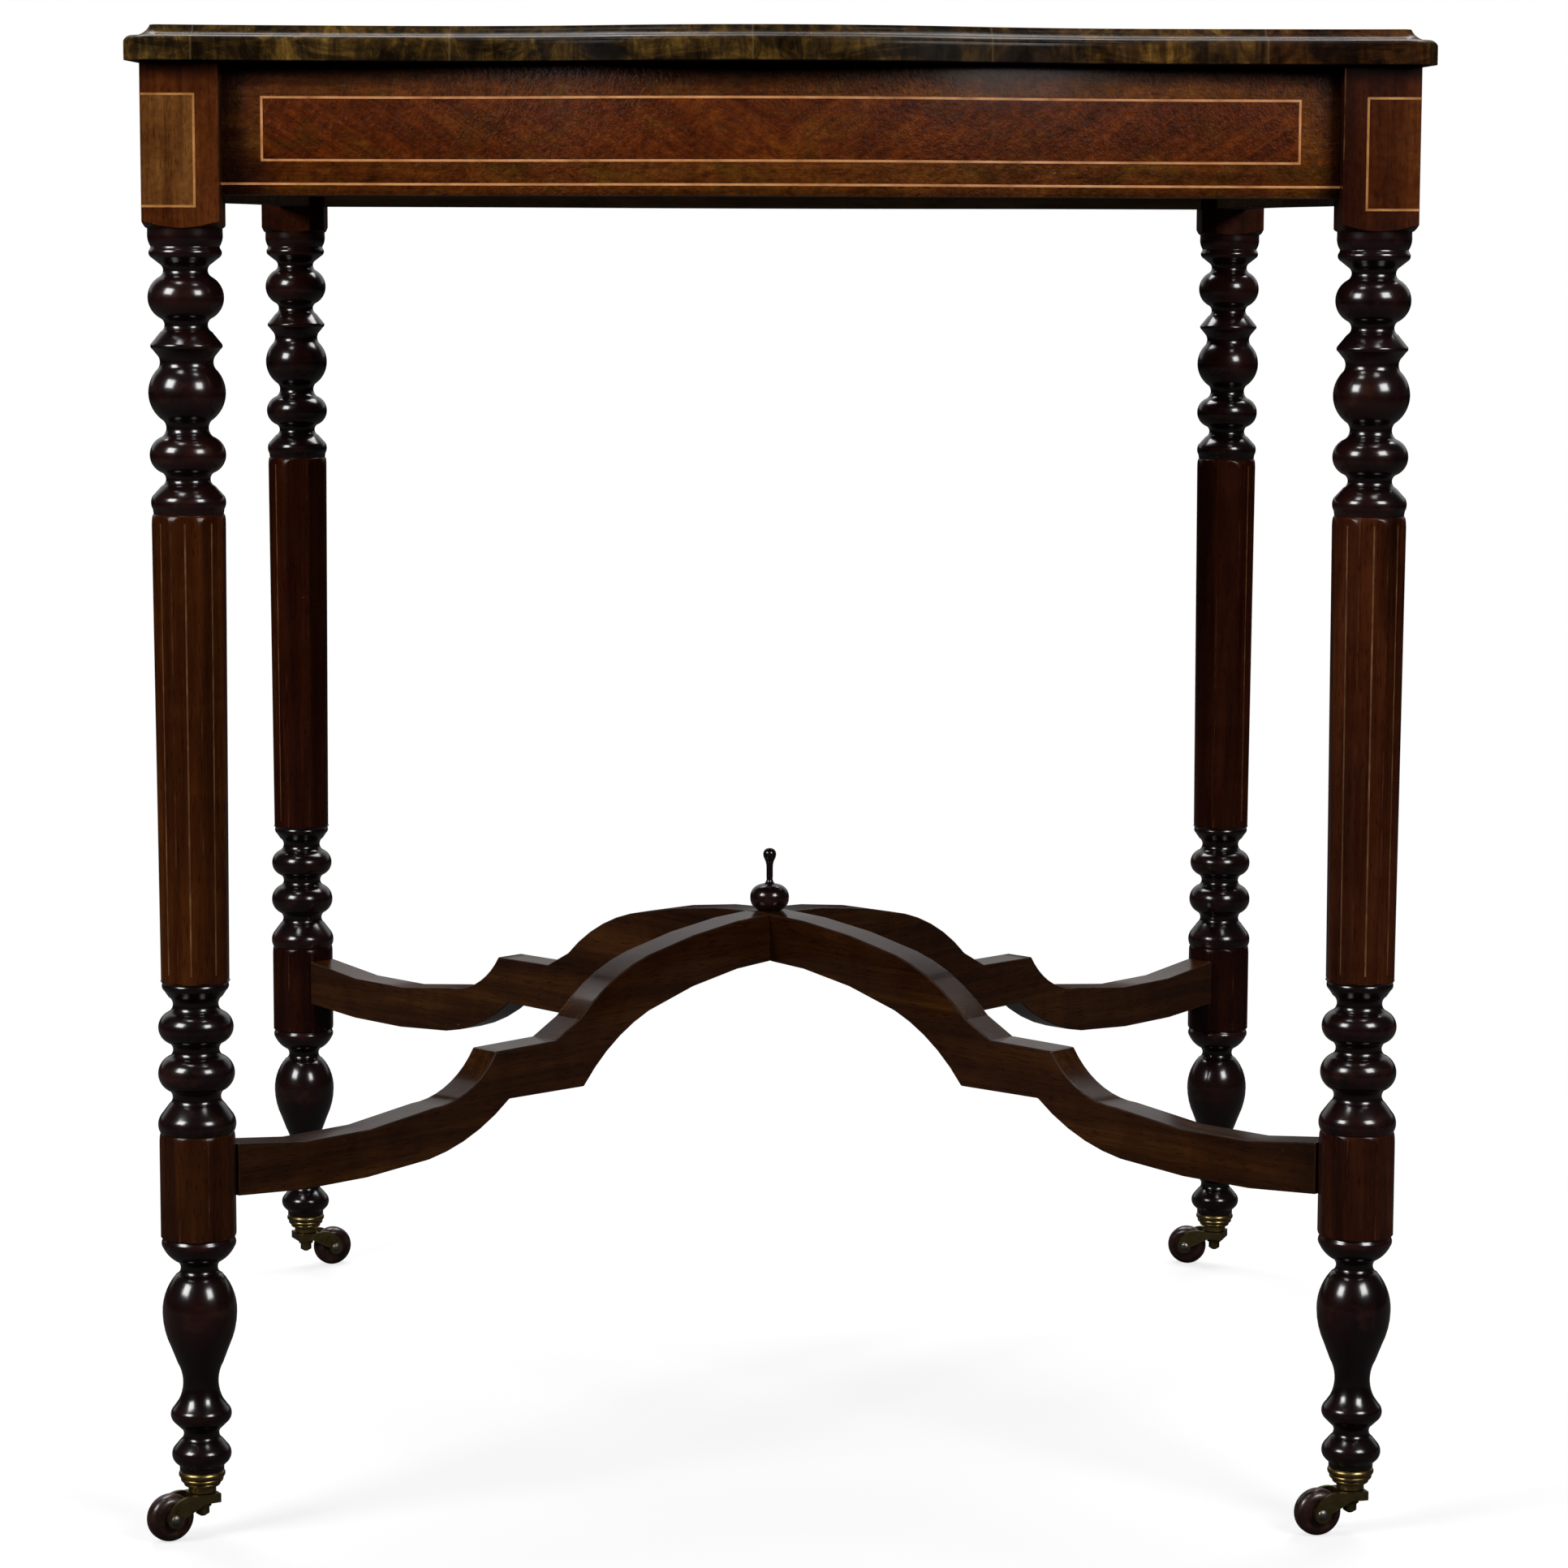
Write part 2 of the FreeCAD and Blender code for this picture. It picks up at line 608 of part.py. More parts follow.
def cut_panel_grooves(leg):
    """Grooves of the block's inlaid panel."""
    low, high = panel_levels()
    width = cell("string_width")
    rows = panel_band_rows(cell("overrun"))
    for name, level in (("PanelLow", low), ("PanelHigh", f"({high} - {width})")):
        sketch = draw_outline(add_sketch(leg, name + "Plan", "XY_Plane", level), rows)
        pocket(leg, name, sketch, width)
    outside = f"(-{BLOCK_HALF} - {cell('overrun')})"
    inside = f"(-{BLOCK_HALF} + {cell('string_depth')})"
    line_end = f"({BLOCK_HALF} - {cell('block_string_inset')} + {width} / 2)"
    line_start = f"({line_end} - {width})"
    on_y_face = box_rows(line_start, line_end, outside, inside)
    on_x_face = box_rows(outside, inside, line_start, line_end)
    for name, rows in (("PanelEndFront", on_y_face), ("PanelEndSide", on_x_face)):
        sketch = draw_outline(add_sketch(leg, name + "Plan", "XY_Plane", low), rows)
        pocket(leg, name, sketch, f"{high} - {low}")


def cut_shaft_grooves(leg):
    """Grooves of the shaft's inlaid lines, over the half turn that looks outwards."""
    sketch = draw_outline(add_sketch(leg, "ShaftLineOutline", "XZ_Plane"), shaft_line_rows(cell("overrun")))
    sketch.AttachmentOffset = Placement(Vector(), Rotation(Vector(0, 1, 0), 135))
    groove = pocket(leg, "ShaftLine", sketch, cell("shaft_string_width"), True)
    repeat_round(leg, "ShaftLines", [groove], shaft_line_count, 180)


def make_block_stringing(corner):
    """The inlaid panel that wraps a block's outer corner."""
    inlay = corner_body("leg_block_stringing_" + corner, corner)
    low, high = panel_levels()
    width = cell("string_width")
    sketch = draw_outline(add_sketch(inlay, "BandPlan", "XY_Plane", low), panel_band_rows("0"))
    pad(inlay, "Band", sketch, f"{high} - {low}")
    outside = f"(-{BLOCK_HALF} - {cell('overrun')})"
    beyond = f"(-{BLOCK_HALF} + {cell('string_depth')} + {cell('overrun')})"
    line_end = f"({BLOCK_HALF} - {cell('block_string_inset')} - {width} / 2)"
    rows = [
        [(outside, outside)], [(line_end, outside)], [(line_end, beyond)], [(beyond, beyond)],
        [(beyond, line_end)], [(outside, line_end)],
    ]
    sketch = draw_outline(add_sketch(inlay, "FieldPlan", "XY_Plane", f"({low} + {width})"), rows)
    pocket(inlay, "Field", sketch, f"{high} - {low} - {width} - {width}")
    return inlay


def make_shaft_stringing(corner):
    """Five lines let into the shaft's outward facets."""
    inlay = corner_body("leg_shaft_stringing_" + corner, corner)
    sketch = add_sketch(inlay, "LineOutline", "XZ_Plane")
    draw_outline(sketch, shaft_line_rows("0"))
    sketch.AttachmentOffset = Placement(Vector(), Rotation(Vector(0, 1, 0), 135))
    line = pad(inlay, "Line", sketch, cell("shaft_string_width"), True)
    repeat_round(inlay, "Lines", [line], shaft_line_count, 180)
    return inlay


def band_rows(outer, inner, reach):
    """Plan of a band on the front side between two insets from the apron's face."""
    face = Swell(APRON_END, cell("apron_swell"), APRON_TURN)
    rows = [[mirrored((reach, f"({APRON_END} - {outer})"))], [mirrored(face.foot(outer))]]
    rows += face.rows(outer) + [[(reach, f"({APRON_END} - {outer})")]]
    rows += [[(reach, f"({APRON_END} - {inner})")], [face.foot(inner)]]
    rows += backwards(face.rows(inner), mirrored(face.foot(inner)))
    rows += [[mirrored((reach, f"({APRON_END} - {inner})"))]]
    return [[on_side(place) for place in row] for row in rows]


def apron_panel():
    """Half width and levels of the panel's lines on an apron."""
    half = f"({APRON_REACH} - {cell('apron_panel_inset')} + {cell('string_width')} / 2)"
    low = f"({APRON_BOTTOM} + {cell('apron_panel_low')} - {cell('string_width')} / 2)"
    high = f"({BLOCK_TOP} - {cell('apron_panel_drop')} + {cell('string_width')} / 2)"
    base = f"({APRON_BOTTOM} + {cell('apron_string_low')} - {cell('string_width')} / 2)"
    return half, low, high, base


def make_apron(side):
    """One serpentine apron with a tenon at each end and grooves for its stringing."""
    apron = add_body("apron_" + side, SIDES[side])
    rows = band_rows("0", cell("apron_thickness"), APRON_REACH)
    sketch = draw_outline(add_sketch(apron, "BoardPlan", "XY_Plane", APRON_BOTTOM), rows)
    pad(apron, "Board", sketch, cell("apron_height"))

    low = f"({BLOCK_TOP} - {cell('tenon_drop')} - {cell('tenon_height')})"
    near = f"({APRON_REACH} - {cell('overrun')})"
    far = f"({APRON_REACH} + {cell('tenon_length')})"
    front = f"(-{TENON_MIDDLE} - {cell('tenon_thickness')} / 2)"
    back = f"(-{TENON_MIDDLE} + {cell('tenon_thickness')} / 2)"
    for name, left, right in (("TenonRight", near, far), ("TenonLeft", "-" + far, "-" + near)):
        rows = box_rows(left, right, front, back)
        sketch = draw_outline(add_sketch(apron, name + "Plan", "XY_Plane", low), rows)
        pad(apron, name, sketch, cell("tenon_height"))

    half, low, high, base = apron_panel()
    width, depth = cell("string_width"), cell("string_depth")
    outside = f"(-{cell('overrun')})"
    whole = f"({APRON_REACH} + {cell('overrun')})"
    for name, level, reach in (
        ("LineBase", base, whole), ("LineLow", low, half), ("LineHigh", f"({high} - {width})", half),
    ):
        rows = band_rows(outside, depth, reach)
        sketch = draw_outline(add_sketch(apron, name + "Plan", "XY_Plane", level), rows)
        pocket(apron, name, sketch, width)
    inside = f"({half} - {width})"
    deep = f"-({APRON_END} - {depth})"
    outer = f"(-{APRON_END} - {cell('overrun')})"
    for name, left, right in (("LineRight", inside, half), ("LineLeft", "-" + half, "-" + inside)):
        rows = box_rows(left, right, outer, deep)
        sketch = draw_outline(add_sketch(apron, name + "Plan", "XY_Plane", low), rows)
        pocket(apron, name, sketch, f"{high} - {low}")
    return apron


def make_apron_stringing(side):
    """The panel of lines on an apron and the line along its lower edge."""
    inlay = add_body("apron_stringing_" + side, SIDES[side])
    half, low, high, base = apron_panel()
    width, depth = cell("string_width"), cell("string_depth")
    rows = band_rows("0", depth, half)
    sketch = draw_outline(add_sketch(inlay, "BandPlan", "XY_Plane", low), rows)
    pad(inlay, "Band", sketch, f"{high} - {low}")
    inside = f"({half} - {width})"
    rows = band_rows(f"(-{cell('overrun')})", f"({depth} + {cell('overrun')})", inside)
    sketch = draw_outline(add_sketch(inlay, "FieldPlan", "XY_Plane", f"({low} + {width})"), rows)
    pocket(inlay, "Field", sketch, f"{high} - {low} - {width} - {width}")
    rows = band_rows("0", depth, APRON_REACH)
    sketch = draw_outline(add_sketch(inlay, "BasePlan", "XY_Plane", base), rows)
    pad(inlay, "BaseLine", sketch, width)
    return inlay


def make_rail(label, turn, lap_is_upper):
    """One arched stretcher rail, half-lapped at the crossing and tenoned at both ends."""
    rail = add_body(label, turn)
    reach, rise = RAIL_REACH, cell("rail_rise")

    def edge_rows(shares, level):
        return [[(f"{out} * {reach}", f"{level} + {up} * {rise}") for out, up in row] for row in shares]

    under = edge_rows(rail_under_shares, RAIL_END_LOW)
    over = edge_rows(rail_over_shares, RAIL_END_HIGH)
    rows = [[("0", f"({RAIL_CROWN} - {cell('rail_end_height')})")]] + under
    rows += [[over[-1][-1]]] + backwards(over, ("0", RAIL_CROWN))
    sketch = draw_outline(add_sketch(rail, "HalfOutline", "XZ_Plane"), rows)
    half = pad(rail, "Half", sketch, cell("rail_thickness"), True)

    middle = f"({RAIL_END_LOW} + {cell('rail_end_height')} / 2)"
    low = f"({middle} - {cell('rail_tenon_height')} / 2)"
    near = f"({reach} - {cell('overrun')})"
    far = f"({reach} + {cell('rail_tenon_length')})"
    rows = box_rows(near, far, low, f"{middle} + {cell('rail_tenon_height')} / 2")
    sketch = draw_outline(add_sketch(rail, "TenonOutline", "XZ_Plane"), rows)
    tenon = pad(rail, "Tenon", sketch, cell("tenon_thickness"), True)

    other_half = rail.newObject("PartDesign::Mirrored", "OtherHalf")
    other_half.Originals = [half, tenon]
    other_half.MirrorPlane = (origin_feature(rail, "YZ_Plane"), [""])
    rail.Tip = other_half

    lap_half = f"({cell('rail_thickness')} / 2 + {cell('joint_gap')})"
    beyond = f"({cell('rail_end_height')} + {cell('overrun')})"
    bottom = RAIL_LAP if lap_is_upper else f"({RAIL_LAP} - {beyond})"
    rows = box_rows("-" + lap_half, lap_half, bottom, f"{bottom} + {beyond}")
    sketch = draw_outline(add_sketch(rail, "LapOutline", "XZ_Plane"), rows)
    cut_width = f"{cell('rail_thickness')} + {cell('overrun')}"
    pocket(rail, "Lap", sketch, cut_width, True)

    if not lap_is_upper:
        bottom = f"({RAIL_CROWN} - {cell('dowel_length')} - {cell('joint_end_gap')})"
        hole = add_sketch(rail, "DowelHolePlan", "XY_Plane", bottom)
        draw_circle(hole, f"({cell('dowel_radius')} + {cell('bore_gap')})")
        pocket(rail, "DowelHole", hole, f"{cell('dowel_length')} + {cell('overrun')}")
    return rail


def make_finial():
    """The turned finial that stands on the crossing."""
    finial = add_body("finial")
    dowel = cell("dowel_radius")
    dowel_end = f"({RAIL_CROWN} - {cell('dowel_length')})"
    rows = [[("0", dowel_end)], [(dowel, dowel_end)], [(dowel, RAIL_CROWN)]]
    rows += [[(f"{finial_base_share} * {cell('finial_radius')}", RAIL_CROWN)]]
    rows += turned_rows(finial_shares, RAIL_CROWN, cell("finial_height"), cell("finial_radius"))
    turn_round(finial, "Turning", rows)
    return finial


def moulding_rows(edge):
    """What the moulding cutter takes away along an edge at this distance from an axis.

    The distance is negative where the axis stands outside the top.
    """
    fascia_top = f"({BLOCK_TOP} + {cell('fascia_height')})"
    round_top = f"({fascia_top} + {cell('round_rise')})"
    above = f"({TABLE_TOP} + {cell('overrun')})"
    round_out_share, round_up_share = 0.34, 0.78
    cove_out_share, cove_up_share = 0.62, 0.34

    def place(inset):
        return f"({edge} - {inset})"

    round_run = cell("round_run")
    cove_in = f"({round_run} + {cove_out_share} * {cell('cove_run')})"
    cove_end = f"({round_run} + {cell('cove_run')})"
    round_middle = (
        place(f"{round_out_share} * {round_run}"),
        f"({fascia_top} + {round_up_share} * {cell('round_rise')})",
    )
    cove_middle = (place(cove_in), f"({round_top} + {cove_up_share} * ({TABLE_TOP} - {round_top}))")
    far = place(f"(-{cell('overrun')})")
    return [
        [(far, fascia_top)], [(far, above)], [(place(cove_end), above)], [(place(cove_end), TABLE_TOP)],
        [cove_middle, (place(round_run), round_top)], [round_middle, (place("0"), fascia_top)],
    ]


def top_plan_rows(edge, flare_radius):
    """The top's outline: swell, hollows and flared ends on each side, a cant at each corner."""
    half_run = f"(({TOP_REACH} - {TOP_TURN}) / 2)"
    rise = f"({flare_radius} - sqrt({flare_radius} ^ 2 - {half_run} ^ 2))"
    flare_point = (f"({TOP_TURN} + {half_run})", f"({TOP_HOLLOW} + {rise})")
    corner = (TOP_REACH, TOP_CORNER)
    side = [[mirrored(corner)], [mirrored(flare_point), mirrored(edge.foot("0"))]]
    side += edge.rows("0") + [[flare_point, corner]]
    return [[on_side(place, quarter) for place in row] for quarter in range(len(SIDES)) for row in side]


def make_top():
    """The serpentine top with its canted corners, moulded all round."""
    top = add_body("table_top")
    edge = Swell(TOP_HOLLOW, cell("top_swell"), TOP_TURN)
    flare_run = f"({TOP_REACH} - {TOP_TURN})"
    flare_radius = f"(({flare_run} ^ 2 + {cell('top_flare')} ^ 2) / (2 * {cell('top_flare')}))"
    plan = add_sketch(top, "Plan", "XY_Plane", BLOCK_TOP)
    pad(top, "Board", draw_outline(plan, top_plan_rows(edge, flare_radius)), cell("top_thickness"))

    def mould(name, radius, centre, across, angle, **settings):
        """A moulding cut about an upright axis on the right-hand side."""
        sketch = add_sketch(top, name + "Section", "XZ_Plane")
        draw_outline(sketch, moulding_rows(radius))
        sketch.setExpression("AttachmentOffset.Base.x", centre)
        sketch.setExpression("AttachmentOffset.Base.z", across)
        cut = revolve(top, name, sketch, "Groove")
        cut.setExpression("Angle", angle)
        for field, setting in settings.items():
            setattr(cut, field, setting)
        repeat_round(top, name + "s", [cut], len(SIDES))

    swell_angle = f"(2 * asin({edge.turn} / {edge.both}))"
    flare_angle = f"asin(({TOP_CORNER} + {cell('top_cant')} - {TOP_TURN}) / {flare_radius})"
    mould("SwellCut", edge.outward, edge.outward_centre, "0", swell_angle, Midplane=True)
    for name, side in (("Left", "-"), ("Right", "")):
        across = side + TOP_TURN
        mould("HollowCut" + name, "-" + edge.inward, edge.inward_centre, across, "360")
        flare_centre = f"({TOP_HOLLOW} + {flare_radius})"
        mould("FlareCut" + name, "-" + flare_radius, flare_centre, across, flare_angle, Reversed=bool(side))

    corner = f"(({TOP_CORNER} + {TOP_REACH}) / sqrt(2))"
    cant = add_sketch(top, "CantSection", "XZ_Plane")
    draw_outline(cant, moulding_rows(corner))
    cant.AttachmentOffset = Placement(Vector(), Rotation(Vector(0, 1, 0), 45))
    cant_cut = pocket(top, "CantCut", cant, TOP_CORNER, True)
    repeat_round(top, "CantCuts", [cant_cut], len(CORNERS))

    radius = f"({cell('screw_radius')} + {cell('screw_gap')})"
    holes = add_sketch(top, "ScrewHoles", "XY_Plane", BLOCK_TOP)
    for across, along in screw_places():
        draw_circle(holes, radius, across, along)
    hole_cut = pocket(top, "ScrewHole", holes, f"{cell('screw_bite')} + {cell('joint_end_gap')}")
    repeat_round(top, "AllScrewHoles", [hole_cut], len(CORNERS))
    return top


def screw_places():
    """Centres of a corner's two screws on the front left, either side of the diagonal."""
    away = f"({APRON_REACH} + {cell('screw_near')})"
    inward = f"({APRON_REACH} - {cell('screw_far')})"
    return [("-" + away, "-" + inward), ("-" + inward, "-" + away)]


def make_corner_block(corner):
    """A glue block in the angle between two aprons, behind the leg."""
    block = add_body("corner_block_" + corner, CORNERS[corner])
    gap = cell("joint_gap")
    face = f"({APRON_END} - {cell('apron_thickness')} - {gap})"
    start = f"({APRON_REACH} - {gap})"
    end = f"({APRON_REACH} - {cell('corner_block_reach')})"
    rows = [
        [("-" + start, "-" + face)], [("-" + end, "-" + face)],
        [("-" + face, "-" + end)], [("-" + face, "-" + start)],
    ]
    level = f"({BLOCK_TOP} - {cell('corner_block_height')})"
    sketch = draw_outline(add_sketch(block, "Plan", "XY_Plane", level), rows)
    pad(block, "Wedge", sketch, cell("corner_block_height"))
    radius = f"({cell('screw_radius')} + {cell('screw_gap')})"
    head = f"({cell('screw_head_radius')} + {cell('screw_gap')})"
    for name, size, depth in (
        ("Shank", radius, cell("corner_block_height")), ("Head", head, cell("screw_head_height")),
    ):
        sketch = add_sketch(block, name + "Holes", "XY_Plane", level)
        for across, along in screw_places():
            draw_circle(sketch, size, across, along)
        pocket(block, name + "Hole", sketch, depth)
    return block


def make_screws():
    """Eight screws up through the corner blocks into the top."""
    screws = add_body("top_screws")
    level = f"({BLOCK_TOP} - {cell('corner_block_height')})"
    length = f"{cell('corner_block_height')} + {cell('screw_bite')}"
    pads = []
    head = (cell("screw_head_radius"), cell("screw_head_height"))
    for name, size, depth in (("Shank", cell("screw_radius"), length), ("Head", *head)):
        sketch = add_sketch(screws, name + "Plan", "XY_Plane", level)
        for across, along in screw_places():
            draw_circle(sketch, size, across, along)
        pads.append(pad(screws, name, sketch, depth))
    repeat_round(screws, "AllScrews", pads, len(CORNERS))
    return screws


def make_caster(corner):
    """Cup, king pin, fork, axle and wheel of one caster."""
    for label, outline in (("caster_cup_", cup_rows()), ("caster_pin_", pin_rows())):
        body = corner_body(label + corner, corner)
        turn_round(body, "Turning", outline)
    turn = TRAIL_ANGLES[corner]
    make_fork(corner, turn)
    for label, outline in (("caster_axle_", axle_rows()), ("caster_wheel_", wheel_rows())):
        body = corner_body(label + corner, corner)
        turn_round(body, "Turning", outline)
        facing = Rotation(Vector(0, 0, 1), turn) * Rotation(Vector(1, 0, 0), 90)
        body.Placement = Placement(body.Placement.Base, facing)
        trail = cell("wheel_trail")
        sign_x = "" if corner.endswith("right") else "-"
        sign_y = "" if corner.startswith("back") else "-"
        body.setExpression("Placement.Base.x", f"{sign_x}{LEG_PLACE} + {trail} * cos({turn})")
        body.setExpression("Placement.Base.y", f"{sign_y}{LEG_PLACE} + {trail} * sin({turn})")
        body.setExpression("Placement.Base.z", cell("wheel_radius"))


def cup_rows():
    """Section of a stepped cup that holds the foot's spigot."""
    ring = cell("cup_ring")
    radius = cell("cup_radius")
    hole = f"({cell('pin_radius')} + {cell('bore_gap')})"
    socket = f"({cell('spigot_radius')} + {cell('bore_gap')})"
    top = cell("caster_height")
    ring_low_share, ring_high_share = 0.3, 0.7
    lower = f"({CUP_BOTTOM} + {ring_low_share} * {cell('cup_depth')})"
    upper = f"({CUP_BOTTOM} + {ring_high_share} * {cell('cup_depth')})"
    return [
        [(hole, NECK_BOTTOM)], [(cell("cup_neck_radius"), NECK_BOTTOM)],
        [(cell("cup_neck_radius"), CUP_BOTTOM)], [(f"({radius} - {ring})", CUP_BOTTOM)],
        [(radius, f"({CUP_BOTTOM} + {lower}) / 2"), (f"({radius} - {ring})", lower)],
        [(f"({radius} - {ring})", upper)],
        [(radius, f"({upper} + {top}) / 2"), (f"({radius} - {ring})", top)],
        [(socket, top)], [(socket, CUP_FLOOR_TOP)], [(hole, CUP_FLOOR_TOP)],
    ]


def pin_rows():
    """Section of the king pin: tail, collar under the fork, shank and wood screw."""
    pin = cell("pin_radius")
    screw = cell("pin_screw_radius")
    tail = f"({COLLAR_BOTTOM} - {cell('pin_tail')})"
    tip_share = 0.4
    screw_top = f"({CUP_FLOOR_TOP} + {cell('pin_screw_length')})"
    taper = f"({screw_top} - {screw})"
    return [
        [("0", tail)], [(f"{tip_share} * {pin}", tail)], [(pin, f"({tail} + {tip_share} * {pin})")],
        [(pin, COLLAR_BOTTOM)], [(cell("pin_collar_radius"), COLLAR_BOTTOM)],
        [(cell("pin_collar_radius"), COLLAR_TOP)], [(pin, COLLAR_TOP)], [(pin, CUP_FLOOR_TOP)],
        [(screw, CUP_FLOOR_TOP)], [(screw, taper)], [("0", screw_top)],
    ]


def axle_rows():
    """Section of the riveted axle with a domed head on each cheek."""
    half = f"({cell('wheel_width')} / 2 + {cell('wheel_gap')} + {cell('cheek_thickness')})"
    tip = f"({half} + {cell('axle_head_height')})"
    shank, head = cell("axle_radius"), cell("axle_head_radius")
    crest_share, side_share, rise_share = 0.15, 0.72, 0.64
    crest = f"{crest_share} * {head}"
    side = f"{side_share} * {head}"
    rise = f"({half} + {rise_share} * {cell('axle_head_height')})"
    return [
        [("0", "-" + tip)], [(crest, "-" + tip)], [(side, "-" + rise), (head, "-" + half)],
        [(shank, "-" + half)], [(shank, half)], [(head, half)], [(side, rise), (crest, tip)],
        [("0", tip)],
    ]


def wheel_rows():
    """Section of the wheel, its tread rounded off and its faces dished."""
    bore = f"({cell('axle_radius')} + {cell('bore_gap')})"
    half = f"({cell('wheel_width')} / 2)"
    radius, soft = cell("wheel_radius"), cell("wheel_round")
    corner_share = 0.29
    inner = f"({radius} - {soft})"
    side = f"({half} - {soft})"
    dish = f"({half} - {cell('wheel_dish')})"
    hub_share, rim_share = 0.30, 0.68
    hub, rim = f"{hub_share} * {radius}", f"{rim_share} * {radius}"
    bend = f"({radius} - {corner_share} * {soft})"
    bend_side = f"({half} - {corner_share} * {soft})"
    return [
        [(bore, "-" + half)], [(hub, "-" + half)], [(hub, "-" + dish)], [(rim, "-" + dish)],
        [(rim, "-" + half)], [(inner, "-" + half)], [(bend, "-" + bend_side), (radius, "-" + side)],
        [(radius, side)], [(bend, bend_side), (inner, half)], [(rim, half)], [(rim, dish)],
        [(hub, dish)], [(hub, half)], [(bore, half)],
    ]


def make_fork(corner, turn):
    """The swivelling fork: a crown bored for the pin and two cheeks back to the axle."""
    fork = corner_body("caster_fork_" + corner, corner)
    fork.Placement = Placement(fork.Placement.Base, Rotation(Vector(0, 0, 1), turn))
    front = cell("crown_front")
    trail, axis, boss = cell("wheel_trail"), cell("wheel_radius"), cell("cheek_boss_radius")
    slot = f"({cell('wheel_width')} + 2 * {cell('wheel_gap')})"
    width = f"({slot} + 2 * {cell('cheek_thickness')})"
    reach_share, waist_share = 0.35, 0.55
    boss_front = (f"({trail} - {boss})", axis)
    boss_back = (f"({trail} + {boss})", axis)
    sweep = (f"({trail} - {reach_share} * {boss})", f"({CROWN_TOP} - {reach_share} * {boss})")
    waist = (f"({waist_share} * {trail} - {boss} / 2)", f"({CROWN_BOTTOM} + {axis}) / 2")
    rows = [
        [("-" + front, CROWN_BOTTOM)], [(f"{reach_share} * {front}", CROWN_BOTTOM)],
        [waist, boss_front], [(trail, f"({axis} - {boss})"), boss_back],
        [sweep, (front, CROWN_TOP)], [("-" + front, CROWN_TOP)],
    ]
    pad(fork, "Side", draw_outline(add_sketch(fork, "SideOutline", "XZ_Plane"), rows), width, True)

    behind = f"({trail} + {boss} + {cell('overrun')})"
    below = f"({axis} - {boss} - {cell('overrun')})"
    above = f"({CROWN_TOP} + {cell('overrun')})"
    rows = [
        [("-" + behind, below)], [(behind, below)], [(behind, above)], [(front, above)],
        [(front, CROWN_BOTTOM)], [("-" + behind, CROWN_BOTTOM)],
    ]
    sketch = draw_outline(add_sketch(fork, "SlotOutline", "XZ_Plane"), rows)
    pocket(fork, "Slot", sketch, slot, True)

    for name, plane, radius, across, along in (
        ("PinBore", "XY_Plane", f"({cell('pin_radius')} + {cell('bore_gap')})", "0", "0"),
        ("AxleBore", "XZ_Plane", f"({cell('axle_radius')} + {cell('bore_gap')})", trail, axis),
    ):
        sketch = draw_circle(add_sketch(fork, name + "Outline", plane), radius, across, along)
        pocket(fork, name, sketch, f"2 * {trail} + 2 * {CROWN_TOP}", True)
    return fork


make_top()
for make_piece in (make_apron, make_apron_stringing):
    copy_round(make_piece("front"), SIDES)
for make_piece in (make_leg, make_block_stringing, make_shaft_stringing, make_corner_block):
    copy_round(make_piece("front_left"), CORNERS)
for corner_name in CORNERS:
    make_caster(corner_name)
make_rail("stretcher_rail_under", 45, True)
make_rail("stretcher_rail_over", 135, False)
make_finial()
make_screws()
document.recompute()

pieces = [item for item in document.Objects if item.TypeId in ("PartDesign::Body", "Part::Compound")]
failed = [item.Label for item in document.Objects if {"Invalid", "Error"} & set(item.State)]
if failed:
    raise RuntimeError("failed: " + ", ".join(failed))
for piece in pieces:
    if piece.Shape.isNull() or not piece.Shape.isValid() or not piece.Shape.Solids:
        raise RuntimeError("%s has no valid solid" % piece.Label)

os.makedirs("parts", exist_ok=True)
for piece in pieces:
    solids = piece.Shape.Solids
    shape = solids[0] if len(solids) == 1 else Part.makeCompound(solids)
    shape.exportStep(os.path.join("parts", piece.Label + ".step"))
    print("%-34s %d solid, %.0f mm3" % (piece.Label, len(solids), shape.Volume))
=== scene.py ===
import math

import bpy
import numpy as np
from mathutils import Matrix, Vector


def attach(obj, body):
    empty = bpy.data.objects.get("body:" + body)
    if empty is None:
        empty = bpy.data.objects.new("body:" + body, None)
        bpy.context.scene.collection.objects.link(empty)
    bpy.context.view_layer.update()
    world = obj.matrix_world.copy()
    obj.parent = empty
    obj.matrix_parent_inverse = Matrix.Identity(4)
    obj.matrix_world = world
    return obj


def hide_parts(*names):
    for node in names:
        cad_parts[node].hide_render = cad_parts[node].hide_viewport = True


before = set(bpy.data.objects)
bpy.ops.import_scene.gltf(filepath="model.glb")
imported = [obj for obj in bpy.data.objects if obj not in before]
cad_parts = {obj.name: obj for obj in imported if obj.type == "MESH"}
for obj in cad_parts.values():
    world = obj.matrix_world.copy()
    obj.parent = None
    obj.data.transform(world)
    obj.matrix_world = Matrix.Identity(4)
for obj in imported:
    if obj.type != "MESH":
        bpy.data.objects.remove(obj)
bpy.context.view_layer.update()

# Lengths below are in millimetres, and MM turns them into the scene's metres
MM = 0.001

# The table from the floor up
LEG_PLACE = 278.0
CASTER_HEIGHT = 33.0
LOW_BLOCK_BOTTOM = 148.0
LOW_BLOCK_TOP = 199.0
SHAFT_BOTTOM = 272.0
SHAFT_TOP = 494.0
BLOCK_BOTTOM = 627.0
BLOCK_TOP = 703.5
TABLE_TOP = 720.0

